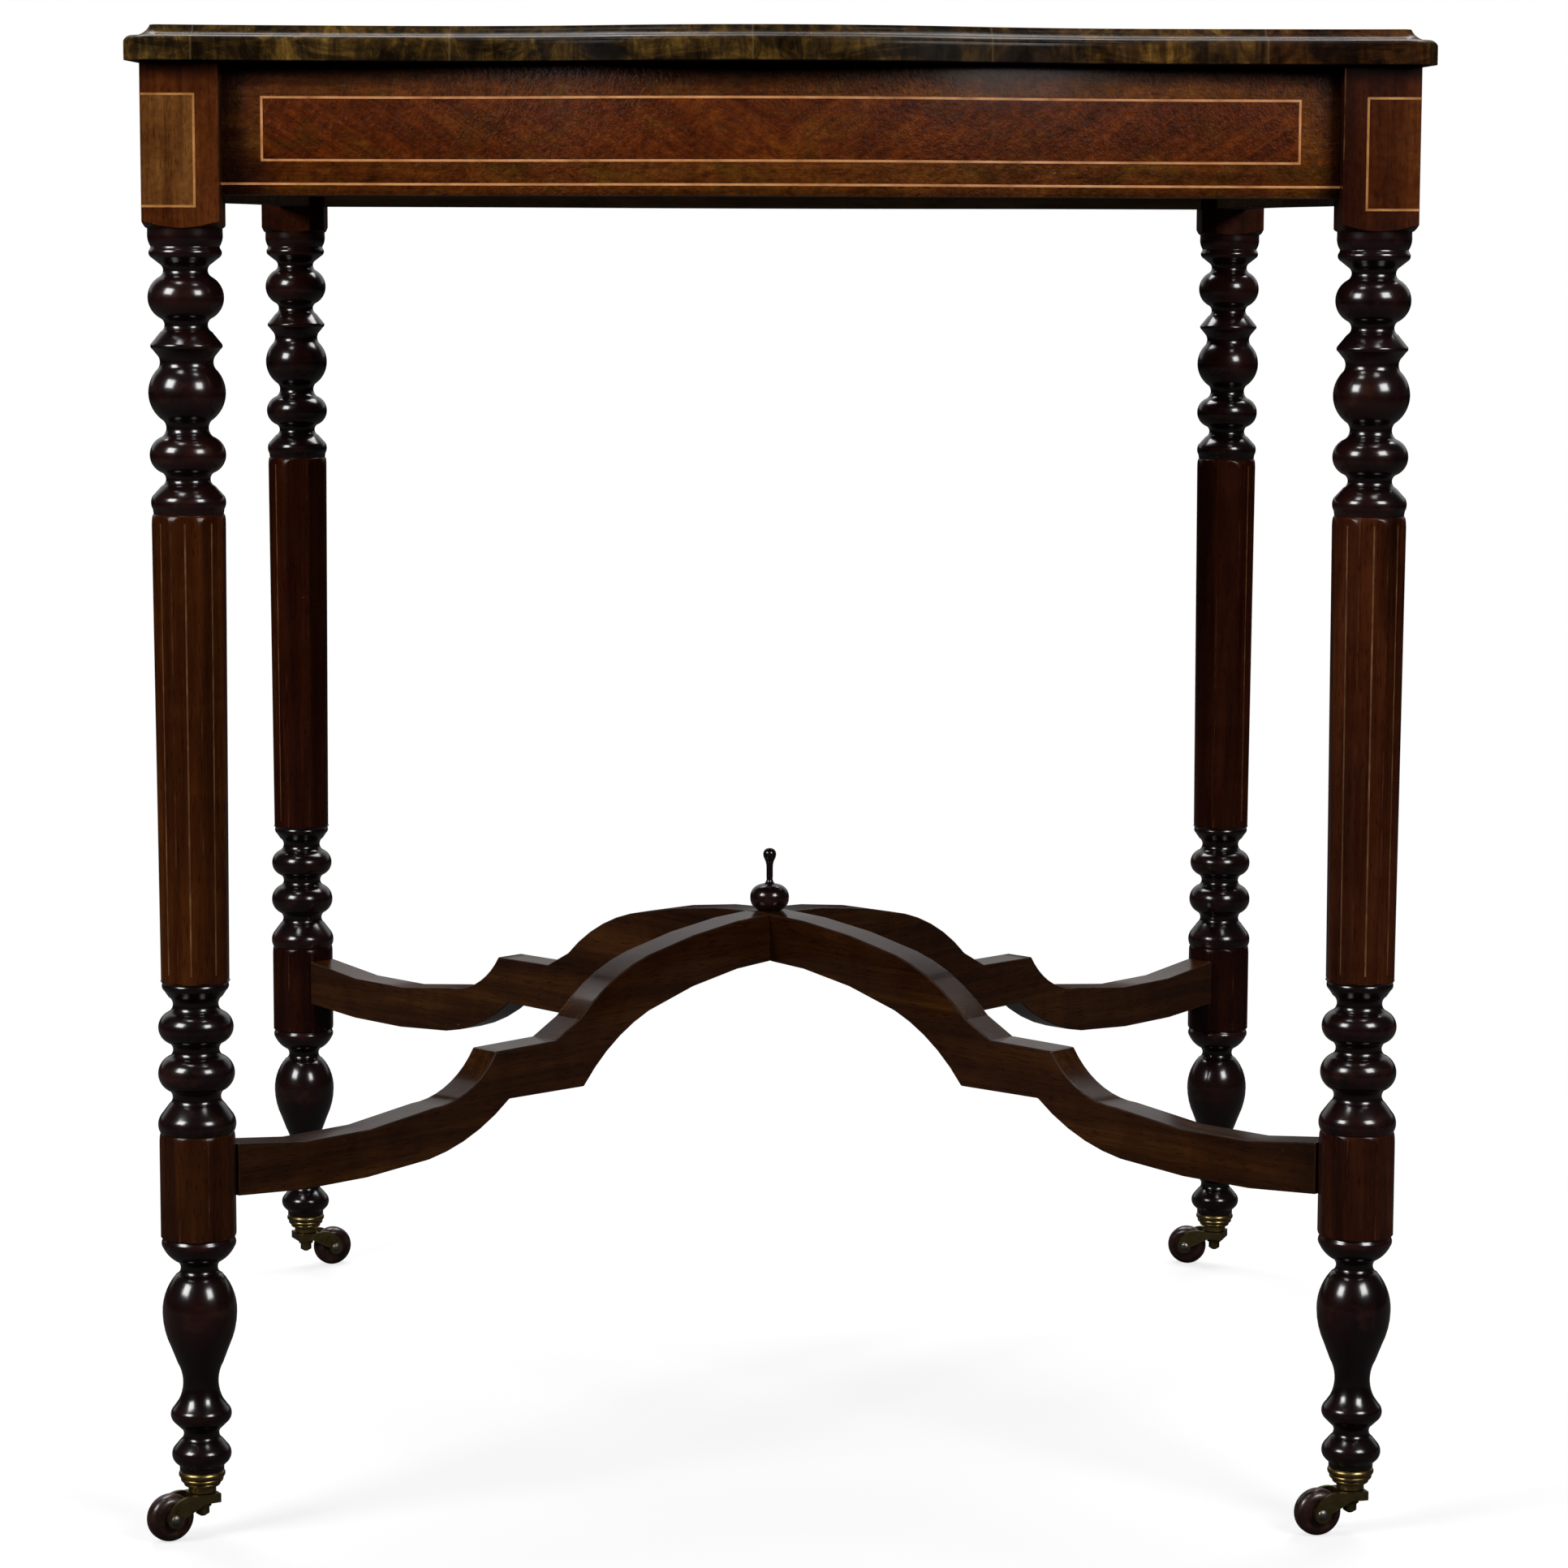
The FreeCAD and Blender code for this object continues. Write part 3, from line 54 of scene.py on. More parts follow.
# Leg
BEAD_RADIUS = 17.8
SPIGOT_RADIUS = 9.3
SPIGOT_LENGTH = 5.5
SHAFT_BLANK = (16.5, 17.7)
SHAFT_FLAT = (15.8, 16.9)
LOW_BLOCK_RADIUS = 18.4
LOW_BLOCK_FLAT = 17.6
FLAT_ROUNDING = 0.05
BLOCK_HALF = 18.0
BLOCK_CANT = 8.0
BLOCK_SHOULDER = 7.0
FLAT_SHOULDER = 6.0
SHOULDER_DEPTH = 1.6
BLOCK_ROUNDING = 0.16
# Levels in millimetres over which the lower leg is darkened downwards with painted shade
LOW_SHADE = (200, 260)

# Gap that keeps an inlaid line just proud of the wood round it
PROUD = 0.03

# A side that a direction barely faces lies far off along it
BARELY = 0.05
FAR_OFF = 999.0

# Directions of the square block's upright arrises, in degrees
BLOCK_CUT = math.degrees(math.atan2(BLOCK_HALF - BLOCK_CANT, BLOCK_HALF))
BLOCK_ARRISES = (BLOCK_CUT, 90 - BLOCK_CUT, 135.0, 225.0, 315.0)

# Aprons
APRON_BOTTOM = 642.0
APRON_REACH = 260.0
APRON_END = 286.0
APRON_SWELL = 26.0
APRON_TURN = 0.77 * APRON_REACH
APRON_THICKNESS = 18.0
STRING_WIDTH = 1.1
STRING_DEPTH = 1.0
PANEL_HALF = 241.0
PANEL_LINES = (658.4, 687.2)
BASE_LINE = 647.5
BLOCK_LINES = (637.0, 688.2)
BLOCK_LINE_INSET = 11.3

# Rails
RAIL_REACH = 375.55
RAIL_THICKNESS = 18.0
RAIL_RISE = 71.7
RAIL_END = (165.8, 191.4)
RAIL_CROWN = 263.1

# Finial
FINIAL_RADIUS = 10.5
FINIAL_HEIGHT = 33.7

# Top
TOP_CORNER = 303.5
TOP_REACH = 293.0
TOP_HOLLOW = 297.0
TOP_SWELL = 30.0
TOP_TURN = 0.58 * TOP_REACH
TOP_FLARE = 6.5
FASCIA_HEIGHT = 8.8
ROUND_RISE = 2.7
ROUND_RUN = 5.0
COVE_RUN = 6.5
FASCIA_INSET = 0.09

# Casters
CUP_RADIUS = 11.2
CUP_BOTTOM = 25.2
CUP_HEIGHT = CASTER_HEIGHT - CUP_BOTTOM
CUP_NECK = (6.65, 21.9)
WHEEL_RADIUS = 11.5
WHEEL_HALF = 5.0
WHEEL_ROUNDING = 4.2
WHEEL_TRAIL = 17.0
TRAIL_ANGLES = {"front_left": 211.0, "front_right": 195.0, "back_right": 160.0, "back_left": 25.0}

# Sides and corners, with the turn that takes the front or front left one there
SIDES = {"front": 0, "right": 90, "back": 180, "left": 270}
CORNERS = {"front_left": 0, "front_right": 90, "back_right": 180, "back_left": 270}

# Fineness of the curves
ARC_STEP = math.radians(7)
APRON_STEPS = 110
TOP_STEPS = 120
FINIAL_SEGMENTS = 64
CUP_SEGMENTS = 72
WHEEL_SEGMENTS = 96

# Turned outlines: a row is a line's end, or an arc's middle and end, in shares of height and bead radius
foot_shares = [
    [(0.0, 0.60)], [(0.018, 0.60)], [(0.035, 0.715)], [(0.067, 0.80), (0.099, 0.73)], [(0.128, 0.575)],
    [(0.156, 0.478), (0.183, 0.573)], [(0.208, 0.735)], [(0.238, 0.82), (0.270, 0.735)], [(0.300, 0.600)],
    [(0.362, 0.483), (0.461, 0.618)], [(0.530, 0.787)],
    [(0.609, 0.955), (0.674, 1.0)], [(0.765, 0.90), (0.835, 0.63)],
    [(0.870, 0.50), (0.898, 0.646)], [(0.928, 0.86), (0.955, 0.965)], [(0.972, 1.0), (0.989, 0.965)],
    [(1.0, 0.935)],
]
low_turning_shares = [
    [(0.0, 0.995)], [(0.062, 1.039), (0.110, 0.966)], [(0.185, 0.736)],
    [(0.227, 0.646), (0.274, 0.73)], [(0.392, 1.022), (0.493, 0.775)],
    [(0.548, 0.618), (0.593, 0.742)], [(0.690, 1.003), (0.788, 0.764)],
    [(0.845, 0.607), (0.897, 0.725)], [(0.938, 0.837)], [(0.962, 0.893), (0.984, 0.876)],
    [(1.0, 0.927)],
]
high_turning_shares = [
    [(0.0, 0.92)], [(0.017, 0.938)], [(0.044, 0.983), (0.062, 0.944)], [(0.098, 0.702)],
    [(0.123, 0.584), (0.144, 0.669)], [(0.209, 1.0), (0.271, 0.68)],
    [(0.301, 0.556), (0.327, 0.624)], [(0.416, 1.011), (0.511, 0.747)],
    [(0.532, 0.702), (0.553, 0.742)], [(0.579, 0.899)], [(0.589, 0.944), (0.598, 0.921)],
    [(0.639, 0.674)], [(0.665, 0.567), (0.688, 0.697)], [(0.761, 0.997), (0.831, 0.685)],
    [(0.856, 0.584), (0.876, 0.68)], [(0.898, 0.888)], [(0.914, 0.955), (0.928, 0.916)],
    [(0.936, 0.899)], [(0.959, 0.972), (0.985, 0.983)], [(1.0, 0.983)],
]
finial_shares = [
    [(-0.02, 0.0)], [(-0.02, 0.62)], [(0.0, 0.62)], [(0.08, 0.90), (0.195, 1.0)],
    [(0.356, 0.81), (0.415, 0.333)], [(0.463, 0.19), (0.534, 0.167)], [(0.682, 0.167)],
    [(0.757, 0.19), (0.813, 0.248)], [(0.86, 0.315), (0.905, 0.333)], [(0.972, 0.25), (1.0, 0.06)],
    [(1.0, 0.0)],
]
cup_ring_shares = [(0.0, 0.24, 0.79), (0.26, 0.52, 0.915), (0.55, 0.90, 1.0)]
# Half of a rail's edges from the crossing outwards, as shares of its reach and of its rise
rail_under_shares = [
    [(0.0, 1.0)], [(0.133, 0.944), (0.266, 0.773)], [(0.338, 0.568), (0.391, 0.303)],
    [(0.530, 0.314)], [(0.591, 0.119), (0.676, -0.011)], [(0.812, -0.053), (1.0, 0.0)],
]
rail_over_shares = [
    [(0.0, 1.0)], [(0.133, 0.957), (0.266, 0.831)], [(0.341, 0.671), (0.399, 0.441)],
    [(0.444, 0.318)], [(0.554, 0.314)], [(0.591, 0.113), (0.666, -0.006)],
    [(0.826, -0.082), (1.0, 0.0)],
]

# Materials and the studio. Lengths from here on are in metres
LINE_SOFTNESS = 0.0003
SEAM_HALF = 0.00012
SEAM_SOFTNESS = 0.00008
PANEL_SLANT = -34
PANEL_FINENESS = 1.7
FLAME_SLANT = 24
VENEER_LENGTHS = 9.0
PLAIN = (1, 1, 1)

# Colours that each material runs through, from dark to pale
TONES = {
    "apron panel": ((0.070, 0.0128, 0.0016), (0.118, 0.0225, 0.0022), (0.182, 0.0450, 0.0044)),
    "apron band": ((0.064, 0.0155, 0.0020), (0.114, 0.0290, 0.0032), (0.180, 0.0560, 0.0080)),
    "block olive": ((0.050, 0.0165, 0.0046), (0.130, 0.0460, 0.0095), (0.230, 0.0960, 0.0240)),
    "block brown": ((0.034, 0.0076, 0.0022), (0.074, 0.0170, 0.0034), (0.132, 0.0360, 0.0066)),
    "block deep": ((0.021, 0.0048, 0.0022), (0.044, 0.0098, 0.0030), (0.086, 0.0220, 0.0060)),
    "shaft": ((0.017, 0.0050, 0.0020), (0.046, 0.0115, 0.0022), (0.104, 0.0310, 0.0052)),
    "shaft red": ((0.016, 0.0044, 0.0022), (0.044, 0.0104, 0.0032), (0.096, 0.0255, 0.0072)),
    "shaft dark": ((0.011, 0.0026, 0.0018), (0.029, 0.0058, 0.0020), (0.066, 0.0155, 0.0036)),
    "rail": ((0.0150, 0.0046, 0.0016), (0.042, 0.0130, 0.0030), (0.090, 0.0330, 0.0066)),
    "top": ((0.030, 0.0085, 0.0030), (0.082, 0.0230, 0.0060), (0.165, 0.055, 0.0130)),
    "turned": ((0.0030, 0.0011, 0.0014), (0.0095, 0.0026, 0.0026)),
    "worn edge": ((0.0144, 0.0058, 0.0028), (0.036, 0.0145, 0.0070)),
    "edge olive": ((0.0090, 0.0056, 0.0036), (0.030, 0.0165, 0.0050), (0.082, 0.044, 0.0094),
                   (0.190, 0.122, 0.030)),
    "edge brown": ((0.012, 0.0045, 0.0026), (0.105, 0.036, 0.0100)),
    "boxwood": ((0.30, 0.115, 0.036), (0.50, 0.215, 0.078), (0.62, 0.30, 0.125)),
    "boxwood darkened": ((0.22, 0.085, 0.020), (0.38, 0.165, 0.045), (0.50, 0.24, 0.075)),
    "boxwood stained": ((0.050, 0.018, 0.007), (0.105, 0.042, 0.014), (0.19, 0.085, 0.030)),
    "rubbed brass": ((0.10, 0.072, 0.026), (0.30, 0.21, 0.078), (0.52, 0.38, 0.16)),
    "dull brass": ((0.060, 0.046, 0.018), (0.17, 0.128, 0.050), (0.34, 0.255, 0.105)),
    "steel": ((0.10, 0.09, 0.08), (0.22, 0.20, 0.18), (0.34, 0.32, 0.30)),
    "wheel": ((0.010, 0.0042, 0.0034), (0.026, 0.0090, 0.0060), (0.070, 0.036, 0.024)),
    "raw wood": ((0.16, 0.085, 0.04), (0.33, 0.20, 0.10)),
    "stained wood": ((0.014, 0.0065, 0.0040), (0.050, 0.021, 0.011)),
}

# Materials of the nodes that keep their own shapes, one at each corner
CORNER_DRESS = {
    "caster_fork": "brass", "caster_pin": "brass", "caster_axle": "steel", "corner_block": "raw",
    "leg_block_stringing": "block_boxwood", "leg_shaft_stringing": "shaft_boxwood",
}

# Camera, from the fit to the photograph; its place is in millimetres
PHOTO_WIDTH = 1932.0
FOCAL_PIXELS = 5327.5
SENSOR = 36.0
CAMERA_PLACE = (-39.2, -2314.2, 619.0)
CAMERA_YAW = -1.159
CAMERA_PITCH = -7.076
CAMERA_ROLL = -0.173
CAMERA_CLIP = (0.05, 60.0)

# Floor and surroundings
FLOOR_HALF = 30.0
FLOOR_SEEN = (0.95, 0.95, 0.95, 1.0)
FLOOR_DIM = (0.045, 0.044, 0.043, 1.0)
FLOOR_GLOW = 0.72
FLOOR_FADE = (0.45, 1.1)
WORLD_FRONT = 0.02
WORLD_BACK = 0.42
WORLD_BEHIND = (0.45, 0.80)
WORLD_ABOVE = (0.09, 0.17)

# Lamps by name, azimuth, elevation, distance, size and power: two pairs in front, a larger one high behind
LAMP_AIM = (0, 0, 0.4)
LAMPS = (
    ("left softbox", -50, 27, 2.3, (0.8, 0.8), 35),
    ("right softbox", 35, 27, 2.3, (0.75, 0.75), 29),
    ("upper left softbox", -46, 64, 2.3, (0.4, 0.3), 4),
    ("upper right softbox", 36, 64, 2.3, (0.36, 0.28), 2.5),
    ("back left softbox", -150, 58, 2.6, (1.3, 1.3), 40),
    ("back right softbox", 140, 58, 2.6, (1.3, 1.3), 40),
)


def circle_through(a, b, c):
    """Centre of the circle through three points of the plane."""
    ax, ay = a
    bx, by = b[0] - ax, b[1] - ay
    cx, cy = c[0] - ax, c[1] - ay
    double = 2 * (bx * cy - by * cx)
    ux = (cy * (bx * bx + by * by) - by * (cx * cx + cy * cy)) / double
    uy = (bx * (cx * cx + cy * cy) - cx * (bx * bx + by * by)) / double
    return ax + ux, ay + uy


def arc_points(a, b, c):
    """Points from a to c on the arc through b, without the first."""
    mx, my = circle_through(a, b, c)
    angles = [math.atan2(p[1] - my, p[0] - mx) for p in (a, b, c)]
    radius = math.hypot(a[0] - mx, a[1] - my)
    full = 2 * math.pi
    forward = (angles[2] - angles[0]) % full
    if (angles[1] - angles[0]) % full > forward:
        forward -= full
    count = max(3, math.ceil(abs(forward) / ARC_STEP))
    steps = [angles[0] + forward * i / count for i in range(1, count + 1)]
    return [(mx + radius * math.cos(t), my + radius * math.sin(t)) for t in steps]


def trace(rows, line_step=None):
    """Dense points of an outline whose rows are line ends or an arc's middle and end."""
    points = [rows[0][-1]]
    for row in rows[1:]:
        if len(row) == 2:
            points += arc_points(points[-1], row[0], row[1])
            continue
        start, end = points[-1], row[0]
        length = math.dist(start, end)
        count = max(1, math.ceil(length / line_step)) if line_step else 1
        for i in range(1, count + 1):
            points.append((start[0] + (end[0] - start[0]) * i / count,
                           start[1] + (end[1] - start[1]) * i / count))
    return points


def section(shares, bottom, height, radius):
    """A traced turned outline as (radius, level) pairs in millimetres."""
    rows = [[(out * radius, bottom + up * height) for up, out in row] for row in shares]
    return trace(rows)


def new_object(name, vertices, faces, material_index=None, materials=()):
    """A mesh object in the scene, from points in metres and faces."""
    mesh = bpy.data.meshes.new(name)
    mesh.from_pydata([tuple(v) for v in vertices], [], [tuple(f) for f in faces])
    for material in materials:
        mesh.materials.append(material)
    if material_index is not None:
        mesh.polygons.foreach_set("material_index", material_index)
    mesh.update()
    piece = bpy.data.objects.new(name, mesh)
    bpy.context.scene.collection.objects.link(piece)
    return piece


def smooth(piece, degrees):
    """Smooth shading that keeps edges sharper than this angle."""
    piece.data.shade_smooth()
    piece.data.set_sharp_from_angle(angle=math.radians(degrees))


def turned_about(points, degrees, centre=(0.0, 0.0)):
    """Points turned about Z through the origin, then moved to a centre."""
    spin = math.radians(degrees)
    turned = np.array(points, dtype=float)
    x = turned[:, 0] * math.cos(spin) - turned[:, 1] * math.sin(spin)
    y = turned[:, 0] * math.sin(spin) + turned[:, 1] * math.cos(spin)
    turned[:, 0] = x + centre[0]
    turned[:, 1] = y + centre[1]
    return turned


def grid_faces(rows, columns):
    """Quads between neighbouring rows of a grid that closes on itself along each row."""
    faces = []
    for i in range(rows - 1):
        for j in range(columns):
            k = (j + 1) % columns
            faces.append((i * columns + j, i * columns + k, (i + 1) * columns + k, (i + 1) * columns + j))
    return faces


def corner_centre(corner):
    """Middle of a leg in plan."""
    return (
        LEG_PLACE if corner.endswith("right") else -LEG_PLACE,
        LEG_PLACE if corner.startswith("back") else -LEG_PLACE,
    )


def softened_least(values, softness):
    """Least of several distances, rounded where two are nearly alike."""
    values = np.stack(values)
    lowest = values.min(axis=0)
    return lowest - softness * np.log(np.exp(-(values - lowest) / softness).sum(axis=0))


def leg_angles():
    """Directions round a leg, closer together beside its arrises."""
    angles = set(np.round(np.arange(0, 360, 3.0), 3))
    for arris in (*(22.5 + 45 * i for i in range(8)), *BLOCK_ARRISES):
        for offset in (-2.0, -1.2, -0.6, -0.25, 0.0, 0.25, 0.6, 1.2, 2.0):
            angles.add(round((arris + offset) % 360, 3))
    return np.radians(sorted(angles))


def leg_levels():
    """Rows of the leg's outline as (blank radius, level, kind of section)."""
    def turning(shares, low, high):
        return [(radius, level, "turned") for radius, level in section(shares, low, high - low, BEAD_RADIUS)]

    spigot_end = CASTER_HEIGHT - SPIGOT_LENGTH
    spigot = ((0.5, spigot_end), (SPIGOT_RADIUS, spigot_end), (SPIGOT_RADIUS, CASTER_HEIGHT))
    rows = [(radius, level, "turned") for radius, level in spigot]
    rows += turning(foot_shares, CASTER_HEIGHT, LOW_BLOCK_BOTTOM)
    rows += shouldered(LOW_BLOCK_BOTTOM, LOW_BLOCK_TOP, (LOW_BLOCK_RADIUS, LOW_BLOCK_RADIUS), "low")
    rows += turning(low_turning_shares, LOW_BLOCK_TOP, SHAFT_BOTTOM)
    rows += shouldered(SHAFT_BOTTOM, SHAFT_TOP, SHAFT_BLANK, "shaft")
    rows += turning(high_turning_shares, SHAFT_TOP, BLOCK_BOTTOM)
    slope = (2 * BLOCK_HALF - BEAD_RADIUS) / BLOCK_SHOULDER
    for rise in (0.0, 0.05, 0.1, 0.2, 0.4, 0.7, 1.0, 1.4, 1.8, 2.2, 2.6, 3.0, 3.4):
        rows.append((BEAD_RADIUS + rise * slope, BLOCK_BOTTOM + rise, "block"))
    for level in np.linspace(BLOCK_BOTTOM + 5, BLOCK_TOP - 0.1, 24):
        rows.append((2 * BLOCK_HALF, level, "block"))
    return rows


def shouldered(low, high, blank, kind):
    """Rows of an octagonal length whose turned blank is rounded off at its upper end."""
    rows = [(blank[0] - 0.5, low, kind), (blank[0], low + 0.6, kind)]
    straight_end = high - FLAT_SHOULDER
    for level in np.linspace(low + 2, straight_end, 40):
        share = (level - low) / (high - low)
        rows.append((blank[0] + (blank[1] - blank[0]) * share, level, kind))
    for i in range(1, 15):
        lean = math.pi / 2 * i / 14
        level = straight_end + FLAT_SHOULDER * math.sin(lean)
        rows.append((blank[1] - SHOULDER_DEPTH * (1 - math.cos(lean)), level, kind))
    return rows


def flats(kind, level):
    """Distance of the octagon's flats at a level."""
    if kind == "low":
        return LOW_BLOCK_FLAT
    share = (level - SHAFT_BOTTOM) / (SHAFT_TOP - SHAFT_BOTTOM)
    return SHAFT_FLAT[0] + (SHAFT_FLAT[1] - SHAFT_FLAT[0]) * share - PROUD


def block_arrises(angles):
    """How near each direction is to an upright arris of the square block."""
    apart = [np.abs(np.degrees(angles) - place) for place in BLOCK_ARRISES]
    return np.clip(1 - np.min(apart, axis=0) / 1.6, 0, 1)


def add_values(piece, name, values):
    """Give each point of a piece a number that its material reads."""
    layer = piece.data.attributes.new(name, "FLOAT", "POINT")
    layer.data.foreach_set("value", np.asarray(values, dtype=np.float32))


def make_leg(corner, materials):
    """The whole leg as one fine surface, turned and cut flat as the real one is."""
    angles = leg_angles()
    rows = leg_levels()
    beside_flat = (angles + math.pi / 8) % (math.pi / 4) - math.pi / 8
    half = BLOCK_HALF - PROUD
    diagonal = (2 * BLOCK_HALF - BLOCK_CANT) / math.sqrt(2)
    sides = []
    for face, reach in ((0, half), (90, half), (180, half), (270, half), (45, diagonal)):
        toward = np.maximum(np.cos(angles - math.radians(face)), BARELY)
        sides.append(np.where(toward > BARELY, reach / toward, FAR_OFF))
    octagon = np.clip(1 - np.abs((np.degrees(angles) % 45) - 22.5) / 2.0, 0, 1)
    near = {"turned": np.zeros(len(angles)), "low": octagon, "shaft": octagon, "block": block_arrises(angles)}
    ring_list, slots, hollows, arrises = [], [], [], []
    for radius, level, kind in rows:
        blank = np.full(len(angles), radius)
        if kind in ("low", "shaft"):
            facet = flats(kind, level) / np.cos(beside_flat)
            out = softened_least([blank, facet], FLAT_ROUNDING)
        elif kind == "block":
            out = softened_least([blank] + sides, BLOCK_ROUNDING)
        else:
            out = blank
        levels = np.full(len(angles), level)
        ring_list.append(np.column_stack([out * np.cos(angles), out * np.sin(angles), levels]))
        slots.append({"turned": 0, "low": 1, "shaft": 1, "block": 2}[kind])
        hollows.append(float(np.clip((BEAD_RADIUS - radius) / 8.0, 0, 1)) if kind == "turned" else 0.0)
        arrises.append(near[kind])
    placed = turned_about(np.vstack(ring_list), CORNERS[corner], corner_centre(corner)) * MM
    count = len(angles)
    faces = grid_faces(len(rows), count)
    index = []
    for i in range(len(rows) - 1):
        index += [slots[i] if slots[i] == slots[i + 1] else 0] * count
    faces.append(tuple(range(count))[::-1])
    faces.append(tuple((len(rows) - 1) * count + j for j in range(count)))
    index += [0, 2]
    leg = new_object("leg_turned_" + corner, placed, faces, index, materials)
    add_values(leg, "hollow", np.repeat(hollows, count))
    add_values(leg, "crest", np.repeat([1.0 if hollow < 0.08 else 0.0 for hollow in hollows], count))
    add_values(leg, "arris", np.concatenate(arrises))
    smooth(leg, 32)
    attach(leg, "table")
    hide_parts("leg_" + corner)


def lathe(name, outline, segments, materials, degrees=0, centre=(0, 0), tilt=None):
    """A turned piece from (radius, level) pairs in millimetres."""
    angles = np.linspace(0, 2 * math.pi, segments, endpoint=False)
    points = [(r * math.cos(t), r * math.sin(t), z) for r, z in outline for t in angles]
    if tilt is not None:
        points = [tilt @ Vector(point) for point in points]
    placed = turned_about(points, degrees, centre) * MM
    piece = new_object(name, placed, grid_faces(len(outline), segments), None, materials)
    smooth(piece, 35)
    return piece


def make_finial(material):
    """The finial on the crossing of the rails."""
    outline = section(finial_shares, RAIL_CROWN, FINIAL_HEIGHT, FINIAL_RADIUS)
    outline = [(max(radius, 0.01), level) for radius, level in outline]
    piece = lathe("finial_turned", outline, FINIAL_SEGMENTS, [material])
    thin = [float(np.clip((FINIAL_RADIUS - radius) / FINIAL_RADIUS, 0, 1)) for radius, level in outline]
    crests = [1.0 if share < 0.1 else 0.0 for share in thin]
    add_values(piece, "hollow", np.repeat(thin, FINIAL_SEGMENTS) * 0.5)
    add_values(piece, "crest", np.repeat(crests, FINIAL_SEGMENTS))
    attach(piece, "table")
    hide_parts("finial")


def soften_edges(piece, width, segments, degrees, slot):
    """Round a piece's edges, and give the rounding its own material slot."""
    bevel = piece.modifiers.new("softened edges", "BEVEL")
    bevel.width = width * MM
    bevel.segments = segments
    bevel.limit_method = "ANGLE"
    bevel.angle_limit = math.radians(degrees)
    bevel.material = slot
    depsgraph = bpy.context.evaluated_depsgraph_get()
    mesh = bpy.data.meshes.new_from_object(piece.evaluated_get(depsgraph))
    piece.modifiers.clear()
    piece.data = mesh


def make_rail(name, node, degrees, lap, materials):
    """An arched rail with softened edges, halved where the other crosses it."""
    def points_of(shares, level):
        rows = [[(out * RAIL_REACH, level + up * RAIL_RISE) for out, up in row] for row in shares]
        return trace(rows, 9.0)

    under = points_of(rail_under_shares, RAIL_END[0])
    over = points_of(rail_over_shares, RAIL_END[1])
    half = RAIL_THICKNESS / 2
    lap_level = RAIL_CROWN - (RAIL_END[1] - RAIL_END[0]) / 2

    def notched(points):
        kept = [p for p in points if p[0] > half]
        edge = points[0][1] + (kept[0][1] - points[0][1]) * (half / kept[0][0])
        return [(0.0, lap_level), (half, lap_level), (half, edge)] + kept

    under = notched(under) if lap == "over" else under
    over = notched(over) if lap == "under" else over
    whole_under = [(-x, z) for x, z in reversed(under)] + under[1:]
    whole_over = [(-x, z) for x, z in reversed(over)] + over[1:]
    outline = whole_under + whole_over[::-1]
    count = len(outline)
    points = [(x, side, z) for side in (-half, half) for x, z in outline]
    placed = turned_about(points, degrees) * MM
    faces = [(j, (j + 1) % count, count + (j + 1) % count, count + j) for j in range(count)]
    faces += [tuple(range(count))[::-1], tuple(range(count, 2 * count))]
    piece = new_object(name, placed, faces, None, materials)
    soften_edges(piece, 0.7, 3, 28, 1)
    smooth(piece, 13)
    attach(piece, "table")
    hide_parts(node)


class Swell:
    """A side's curve in plan: an outward arc in the middle, then an inward one each way.

    Past the turn the curve is straight, or flares outwards by so much at the reach given.
    """

    def __init__(self, low, rise, turn, flare=0.0, reach=0.0):
        both = (turn ** 2 + rise ** 2) / (2 * rise)
        self.low, self.turn, self.both = low, turn, both
        self.radius = both / 2
        self.outward_centre = low + rise - self.radius
        self.inward_centre = low + both - self.radius
        run = reach - turn
        self.flare_radius = (run ** 2 + flare ** 2) / (2 * flare) if flare else None

    def out(self, inset, across):
        """How far out the curve lies at a place along the side."""
        across = abs(across)
        if across <= (self.radius - inset) / self.both * self.turn:
            return self.outward_centre + math.sqrt((self.radius - inset) ** 2 - across ** 2)
        if across <= self.turn:
            return self.inward_centre - math.sqrt((self.radius + inset) ** 2 - (self.turn - across) ** 2)
        if self.flare_radius is None:
            return self.low - inset
        radius = self.flare_radius
        return self.low + radius - math.sqrt((radius + inset) ** 2 - (across - self.turn) ** 2)


APRON_CURVE = Swell(APRON_END, APRON_SWELL, APRON_TURN)
TOP_CURVE = Swell(TOP_HOLLOW, TOP_SWELL, TOP_TURN, TOP_FLARE, TOP_REACH)


def apron_strip(outer, inner, left, right, low, high, count=APRON_STEPS):
    """Corner points of a strip that follows the front apron, between two insets from its face."""
    rings = []
    for x in np.linspace(left, right, count + 1):
        front, back = -APRON_CURVE.out(outer, x), -APRON_CURVE.out(inner, x)
        rings.append([(x, front, low), (x, front, high), (x, back, high), (x, back, low)])
    return rings


def strip_object(name, strips, degrees, materials, softening=None, face_slots=(0, 0, 0, 0)):
    """Strips joined into one piece; face_slots gives front, top, back and under their materials."""
    vertices, faces, index = [], [], []
    for rings in strips:
        base = len(vertices)
        size = len(rings[0])
        for ring in rings:
            vertices += ring
        for i in range(len(rings) - 1):
            for j in range(size):
                k = (j + 1) % size
                a, b = base + i * size, base + (i + 1) * size
                faces.append((a + j, b + j, b + k, a + k))
                index.append(face_slots[j])
        faces.append(tuple(base + j for j in range(size)))
        end = base + (len(rings) - 1) * size
        faces.append(tuple(end + j for j in reversed(range(size))))
        index += [0, 0]
    placed = turned_about(vertices, degrees) * MM
    piece = new_object(name, placed, faces, index, materials)
    if softening:
        soften_edges(piece, softening, 2, 40, len(materials) - 1)
    smooth(piece, 30)
    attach(piece, "table")
    return piece


